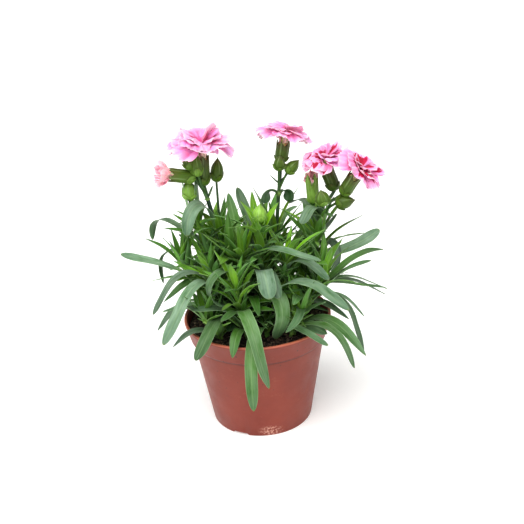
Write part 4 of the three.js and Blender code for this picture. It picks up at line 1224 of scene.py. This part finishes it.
def petal(skin, tilt, row, colours, chance):
    """A petal: a narrow claw that opens into a pleated fan with a fringed margin."""
    foot, azimuth, length, width, bend, ruffle, phase = row
    path = grow(foot, length, azimuth, PETAL_RISE, bend, 0.5 - 0.0012 * bend, 0, 0.6)
    lilac, tone, eye = colours
    shift = chance.uniform(0, 60)
    pleats, creases = chance.uniform(*PLEATS), chance.uniform(*CREASES)
    pleat_depth = width * chance.uniform(*PLEAT_DEPTHS)
    crease_depth = width * chance.uniform(*CREASE_DEPTHS)
    curl = width * chance.uniform(*(CURLS if lilac else HALF_CURLS))
    pleat_start, crease_start = chance.uniform(0, 6.3), chance.uniform(0, 6.3)
    depths = [TOOTH_DEPTH * chance.uniform(0.4, 1.3) for _ in range(PETAL_TEETH + 1)]
    rows = []
    for r in range(PETAL_ROWS + 1):
        s = mix(0.04, 1, (r / PETAL_ROWS) ** 0.8)
        opened = smooth((s - FAN_START) / FULL_AT)
        fan = mix(CLAW_SHARE, 1, opened)
        row_points = []
        for i in range(PETAL_COLUMNS + 1):
            u = 2 * i / PETAL_COLUMNS - 1
            tooth_place = i / PETAL_COLUMNS * PETAL_TEETH
            notch = abs(2 * (tooth_place % 1) - 1)
            tooth = depths[int(tooth_place)] * notch * smooth((s - 0.86) / 0.14)
            place = s * (1 - FULL_ROUNDING * u * u) - tooth
            step = step_at(path, place)
            pleat = math.sin(pleats * u + pleat_start + 0.8 * s)
            crease = math.sin(creases * u + crease_start)
            wave = s * (s * ruffle * math.sin(2.6 * u + phase) + LAP * u)
            wave += opened * (pleat_depth * pleat + crease_depth * crease)
            wave += curl * smooth((s - 0.68) / 0.32)
            wave += 0.8 * s * s * noise.noise(Vector((2.2 * u, 3 * s, shift)))
            position = step.point + step.side * (u * width / 2 * fan) + step.up * wave
            span = (u * width / 2 * fan * MM, place * length * MM, shift * MM)
            thickness = PETAL_THICKNESS * (1 - 0.55 * s)
            # Painted shade and highlight of the pleats and creases, over a tone that differs at
            # random.
            fold_shade_and_tone = 0.4 * tone + opened * (0.35 * pleat + 0.4 * crease)
            row_points.append((tilt @ position, tilt.to_3x3() @ step.up, thickness,
                               (u, s * (1 + min(0, eye))), span, (lilac, fold_shade_and_tone, eye)))
        rows.append(row_points)
    skin.blade(rows)


def bloom(name, pick, chance):
    """The petals of one open calyx, made upright and then tilted with it."""
    shoot_name, number, radius, droop, spread, lean_azimuth, lean, eye, fill = BLOOMS[name]
    stalk = stalks[shoot_name][number]
    azimuth, rise, length, calyx_radius = stalk.head
    half_open = name.startswith("half")
    plug_radius = calyx_radius - CALYX_WALL - SEAT
    first_step = grow(Vector(), 1, azimuth, rise)[0]
    rim = Matrix.Translation(stalk.path[-1].point + first_step.along * length)
    basis = Matrix((first_step.side, -first_step.up, first_step.along)).transposed()
    lean_turn = Matrix.Rotation(math.radians(lean), 3, UPRIGHT.cross(unit(lean_azimuth, 0)))
    tilt = rim @ basis.to_4x4()
    leaning = rim @ (lean_turn @ basis).to_4x4()
    skin = Skin()
    rings = []
    for z, share in PLUG_PROFILE:
        centre = UPRIGHT * (z * (HALF_PLUG if half_open and z > 0 else 1))
        ring = ring_around(centre, UPRIGHT, unit(90, 0), plug_radius * share, PLUG_SIDES)
        rings.append([skin.point(tilt @ point, (0, 0.05, 1)) for _, point in ring])
    skin.round_solid(rings)

    def loose(bend):
        return bend + droop + chance.uniform(-LOOSENESS, LOOSENESS) * (not half_open)

    def add_petal(turn, reach, breadth, bend, ruffle, ring_share, lift, phase):
        foot = unit(turn, 0) * (ring_share * plug_radius)
        foot.z = lift - HALF_SINK * half_open
        ruffle *= 1 + 1.5 * half_open
        row = (foot, turn, CLAW + radius * reach, radius * breadth, bend, ruffle, phase)
        lilac = 0 if half_open else mix(0.05, 1, chance.random())
        colours = (lilac, chance.uniform(-1, 1), eye * chance.uniform(0.5, 1.2))
        petal(skin, leaning, row, colours, chance)

    whorls = HALF_WHORLS if half_open else OPEN_WHORLS
    for count, reach, breadth, bend, ruffle, first, ring_share, lift in whorls:
        wider = spread if first == whorls[0][5] else 1
        for i in range(count):
            turn = first + 360 * i / count + (next(pick) - 0.5) * 8
            reached = reach * wider * (0.94 + 0.12 * next(pick))
            phase = 6 * next(pick)
            add_petal(turn, reached, breadth * wider, loose(bend), ruffle, ring_share, lift, phase)
    if not half_open:
        count, reach, breadth, bend, ring_share, lift = BETWEEN
        for i in range(count):
            turn = OPEN_WHORLS[0][5] + 360 * (i + 0.5) / count + chance.uniform(-8, 8)
            add_petal(turn, reach * spread * chance.uniform(0.92, 1.06), breadth * spread,
                      loose(bend), 1, ring_share, lift, chance.uniform(0, 6))
    for number, (reach, breadth, bend, ring_share, lift) in enumerate(INNER_PETALS[:fill]):
        if half_open:
            reach, bend, lift = 0.55 + reach / 2, 10 + bend / 5, 1
        turn = GOLDEN_ANGLE * number + chance.uniform(-20, 20)
        add_petal(turn, reach * chance.uniform(0.9, 1.1), breadth,
                  bend + droop + chance.uniform(-8, 8), 1.2, ring_share, lift, chance.uniform(0, 6))
    material = SHUT_PETAL if half_open else OPEN_PETAL
    dress(skin.piece(f"{name}_petals", [material], sharp=70), name)


pick = draws(SEED + 1)
for index, name in enumerate(BLOOMS):
    bloom(name, pick, random.Random(40 + index))

# ---- The pot and its soil ----


def pot_radius(z):
    """Outer radius of the pot at a height."""
    if z > BAND_BOTTOM:
        return RIM_RADIUS - (POT_HEIGHT - z) * FLARE
    wall_top = RIM_RADIUS - (POT_HEIGHT - BAND_BOTTOM) * FLARE - BAND_STEP
    return FOOT_RADIUS + (wall_top - FOOT_RADIUS) * z / BAND_BOTTOM


INSIDE_FOOT = FOOT_RADIUS - 1
INSIDE_TOP = pot_radius(BAND_BOTTOM) - WALL
COLLAR_ROOT = BAND_BOTTOM - 3


def rounded(profile, radii):
    """A profile of (radius, height) corners, each rounded by its own radius or left sharp."""
    points = []
    for i, (corner, radius) in enumerate(zip(map(Vector, profile), radii)):
        if not radius:
            points.append(corner)
            continue
        a, b = (
            corner + (Vector(profile[j]) - corner).normalized() * radius for j in (i - 1, i + 1)
        )
        for k in range(FILLET_STEPS + 1):
            t = k / FILLET_STEPS
            points.append(a.lerp(corner, t).lerp(corner.lerp(b, t), t))
    return points


def in_notch(azimuth):
    """Whether an azimuth lies in one of the foot ring's drainage notches."""
    half = math.degrees(NOTCH_WIDTH / 2 / FOOT_RADIUS)
    spacing = 360 / NOTCHES
    return abs((azimuth - FIRST_NOTCH + spacing / 2) % spacing - spacing / 2) < half


def turned_skin(profile, shape):
    """Rings round the upright axis from a profile that starts and ends on it. shape places each
    point by its radius, height and azimuth."""
    skin = Skin()
    rings = [
        [skin.point(shape(r, z, 360 * i / POT_SEGMENTS)) for i in range(POT_SEGMENTS)]
        for r, z in profile
    ]
    skin.round_solid(rings[1:-1])
    return skin


def without_loose_points(thing):
    """Drops points that no face uses."""
    shell = bmesh.new()
    shell.from_mesh(thing.data)
    bmesh.ops.delete(shell, geom=[v for v in shell.verts if not v.link_faces], context="VERTS")
    shell.to_mesh(thing.data)
    shell.free()


def drain(thing):
    """Bores the drain holes through the pot's floor."""
    drill = bmesh.new()
    for i in range(DRAINS):
        middle = unit(FIRST_DRAIN + 360 * i / DRAINS, 0) * (DRAIN_CIRCLE * MM)
        bmesh.ops.create_cone(drill, cap_ends=True, segments=32, radius1=DRAIN_RADIUS * MM,
                              radius2=DRAIN_RADIUS * MM, depth=4 * FLOOR * MM,
                              matrix=Matrix.Translation(middle))
    drill_mesh = bpy.data.meshes.new("drill")
    drill.to_mesh(drill_mesh)
    drill.free()
    cutter = new_object("drill", drill_mesh)
    cut = thing.modifiers.new("drains", "BOOLEAN")
    cut.operation = "DIFFERENCE"
    cut.solver = "EXACT"
    cut.object = cutter
    bpy.context.view_layer.update()
    evaluated = thing.evaluated_get(bpy.context.evaluated_depsgraph_get())
    drained = bpy.data.meshes.new_from_object(evaluated)
    thing.modifiers.clear()
    thing.data = drained
    bpy.data.objects.remove(cutter)
    drained.set_sharp_from_angle(angle=math.radians(POT_SHARP))


def pot():
    """The nursery pot: a turned shell with a faint ripple, notched and drained."""
    band_out = pot_radius(BAND_BOTTOM + 0.01)
    wall_out = pot_radius(BAND_BOTTOM)
    profile = rounded(*zip(
        ((0, 0), 0), ((BOSS_RADIUS, 0), 0.4), ((BOSS_RADIUS + 1.5, UNDERCUT), 0.4),
        ((FOOT_RADIUS - FOOT_RING - 1.4, UNDERCUT), 0.4), ((FOOT_RADIUS - FOOT_RING, 0), 0.3),
        ((FOOT_RADIUS, 0), 0.7), ((pot_radius(20), 20), 0), ((pot_radius(45), 45), 0),
        ((wall_out, BAND_BOTTOM - 1), 0.5), ((band_out, BAND_BOTTOM + 0.6), 0.9),
        ((RIM_RADIUS - 1, POT_HEIGHT - 4), 0), ((RIM_RADIUS, POT_HEIGHT - RIM_EDGE), 0.3),
        ((RIM_RADIUS, POT_HEIGHT), 0.8), ((RIM_RADIUS - RIM_EDGE, POT_HEIGHT), 0.5),
        ((band_out - WALL, BAND_BOTTOM + 1), 0.5), ((INSIDE_TOP, COLLAR_ROOT), 0.5),
        ((INSIDE_FOOT, FLOOR), 0.8), ((0, FLOOR), 0),
    ))

    def shape(r, z, azimuth):
        a = math.radians(azimuth)
        around = Vector((2.2 * math.cos(a), 2.2 * math.sin(a), 0.02 * z))
        r += WALL_RIPPLE * noise.noise(around) * smooth(z / POT_HEIGHT) * (r > FOOT_RADIUS)
        lift = RIM_RIPPLE * (noise.noise(around * 1.7) - 0.4) if z > POT_HEIGHT - 3 else 0
        foot_ring = FOOT_RADIUS - FOOT_RING - 0.5 < r < FOOT_RADIUS + 0.2 and z < NOTCH_HEIGHT
        if foot_ring and in_notch(azimuth):
            z = NOTCH_HEIGHT
        return Vector((r * math.cos(a), r * math.sin(a), z + lift))

    thing = turned_skin(profile, shape).piece("nursery_pot", [thin_polypropylene()], POT_SHARP)
    without_loose_points(thing)
    drain(thing)
    dress(thing, "pot")


def soil_height(x, y):
    """The soil's surface: the solid's own swells with clods and crumbs on them."""
    swell = math.sin(0.31 * x + 1.3) * math.sin(0.27 * y - 0.4)
    crumb = math.sin(0.83 * x - 0.7 * y)
    clods, crumbs = (
        height * noise.noise(Vector((x / width, y / width, layer)))
        for height, width, layer in SOIL_LUMPS
    )
    return SOIL_TOP + SOIL_RELIEF * (swell + crumb / 2) + clods + crumbs


def scatter_crumbs(skin, edge):
    """Loose crumbs on the soil out to a radius, a few of them perlite."""
    chance = random.Random(SEED)
    ball = bmesh.new()
    bmesh.ops.create_icosphere(ball, subdivisions=1, radius=1)
    ball_points = [v.co.copy() for v in ball.verts]
    ball_faces = [[v.index for v in f.verts] for f in ball.faces]
    ball.free()
    for number in range(CRUMBS):
        r = edge * math.sqrt(chance.random())
        spot = unit(chance.uniform(0, 360), 0) * r
        size = SMALLEST_CRUMB + CRUMB_RANGE * chance.random() ** 2.5
        spot.z = soil_height(spot.x, spot.y) + CRUMB_RISE * size
        stretch = Vector([chance.uniform(*reach) for reach in CRUMB_STRETCH])
        turn = Matrix.Rotation(chance.uniform(0, 6.28), 3, "Z")
        pale = chance.choice(CRUMB_PALENESS) if number % PERLITE_EVERY else PERLITE_PALENESS
        first = len(skin.points)
        for p in ball_points:
            lump = p * (size * chance.uniform(0.75, 1.15)) * stretch
            skin.point(spot + turn @ lump, look=(pale, 0, 0))
        for face in ball_faces:
            skin.face([first + i for i in face], 0)


def soil():
    """A plug of soil that fills the pot, with a crumbled top."""
    edge = pot_radius(SOIL_TOP) - WALL - 2 * SEAT
    inside_low = mix(INSIDE_FOOT, INSIDE_TOP, (COLLAR_ROOT - 1 - FLOOR) / (COLLAR_ROOT - FLOOR))
    skirt = [
        (0, FLOOR + SEAT), (INSIDE_FOOT - 3 * SEAT, FLOOR + SEAT),
        (inside_low - SEAT, COLLAR_ROOT - 1), (INSIDE_TOP - SEAT, BAND_BOTTOM),
        (edge - 0.5, SOIL_TOP - 2.4), (edge - 0.6, SOIL_TOP - 0.8),
    ]
    top = [((edge - 1.2) * (1 - i / SOIL_RINGS) ** 0.9, None) for i in range(SOIL_RINGS)]

    def shape(r, z, azimuth):
        a = math.radians(azimuth)
        x, y = r * math.cos(a), r * math.sin(a)
        return Vector((x, y, soil_height(x, y) if z is None else z))

    skin = turned_skin(skirt + top + [(0, None)], shape)
    scatter_crumbs(skin, edge - 2.5)
    thing = skin.piece("potting_soil", [peat_mix()], sharp=40)
    without_loose_points(thing)
    dress(thing, "soil")


pot()
soil()

# ---- Floor, light and camera ----

FLOOR_SIZE = 8
PANEL_STRENGTH = 4.5
PANEL_SPREAD = 70  # degrees across, as seen from the plant
PANEL_TILT = (26, -9, 0)
# Places and powers of the square softboxes, which face the middle of the plant.
SOFTBOXES = {"left_softbox": ((-1.3, -0.7, 0.6), 2.5), "right_softbox": ((1.3, -0.6, 0.6), 3)}
SOFTBOX_SIZE = 0.9
PLANT_MIDDLE = Vector((0, 0, 0.11))
FILL_STRENGTH = 0.16
SWEEP_STRENGTH = 1.02
SWEEP_EDGE = (0.08, 0.26)  # rise of the way, of 1, between which the white sweep ends
FILM_GAMMA = 0.88


def floor():
    """A wide sheet of opal acrylic."""
    mesh = bpy.data.meshes.new("floor")
    half = FLOOR_SIZE / 2
    mesh.from_pydata([(-half, -half, 0), (half, -half, 0), (half, half, 0), (-half, half, 0)],
                     [], [(0, 1, 2, 3)])
    mesh.materials.append(light_table())
    new_object("floor", mesh)


def studio():
    """One huge soft panel high over the front, two weak boxes at the sides, and a white sweep
    all round that ends under a dim ceiling."""
    panel = bpy.data.lights.new("overhead_panel", "SUN")
    panel.energy = PANEL_STRENGTH
    panel.angle = math.radians(PANEL_SPREAD)
    new_object("overhead_panel", panel).rotation_euler = [math.radians(a) for a in PANEL_TILT]
    for name, (location, power) in SOFTBOXES.items():
        light = bpy.data.lights.new(name, "AREA")
        light.shape = "SQUARE"
        light.size = SOFTBOX_SIZE
        light.energy = power
        lamp = new_object(name, light)
        lamp.location = location
        lamp.rotation_mode = "QUATERNION"
        lamp.rotation_quaternion = (PLANT_MIDDLE - Vector(location)).to_track_quat("-Z", "Y")
    world = bpy.data.worlds.new("studio")
    world.use_nodes = True
    tree = world.node_tree
    tree.nodes.clear()
    way = add(tree, "TexCoord").outputs["Generated"]
    height = add(tree, "SeparateXYZ", [way]).outputs["Z"]
    strength = add(tree, "MapRange", [height, *SWEEP_EDGE, SWEEP_STRENGTH, FILL_STRENGTH],
                   interpolation_type="SMOOTHSTEP")
    white = add(tree, "Background", {"Color": (1, 1, 1, 1), "Strength": strength})
    add(tree, "OutputWorld", {"Surface": white})
    bpy.context.scene.world = world
    bpy.context.scene.view_settings.view_transform = "Standard"
    bpy.context.scene.view_settings.gamma = FILM_GAMMA


CAMERA_DISTANCE = 0.586  # in front of the pot's axis
CAMERA_HEIGHT = 0.372
CAMERA_PITCH = 0.407  # radians down
CAMERA_YAW = 0.009
CAMERA_ROLL = -0.055
FOCAL_PIXELS = 914  # of a frame 524 pixels wide
FRAME_PIXELS = 524
SENSOR = 36


def camera():
    """The camera in front of the plant, a little above it."""
    data = bpy.data.cameras.new("camera")
    data.sensor_width = SENSOR
    data.lens = FOCAL_PIXELS / FRAME_PIXELS * SENSOR
    data.clip_start = 0.01
    forward = Vector((
        math.sin(CAMERA_YAW) * math.cos(CAMERA_PITCH),
        math.cos(CAMERA_YAW) * math.cos(CAMERA_PITCH),
        -math.sin(CAMERA_PITCH),
    ))
    level = forward.cross(UPRIGHT).normalized()
    upright = level.cross(forward)
    right = level * math.cos(CAMERA_ROLL) + upright * math.sin(CAMERA_ROLL)
    up = upright * math.cos(CAMERA_ROLL) - level * math.sin(CAMERA_ROLL)
    turn = Matrix((right, up, -forward)).transposed().to_4x4()
    thing = new_object("camera", data)
    thing.matrix_world = Matrix.Translation((0, -CAMERA_DISTANCE, CAMERA_HEIGHT)) @ turn
    bpy.context.scene.camera = thing


floor()
studio()
camera()

bpy.context.view_layer.update()
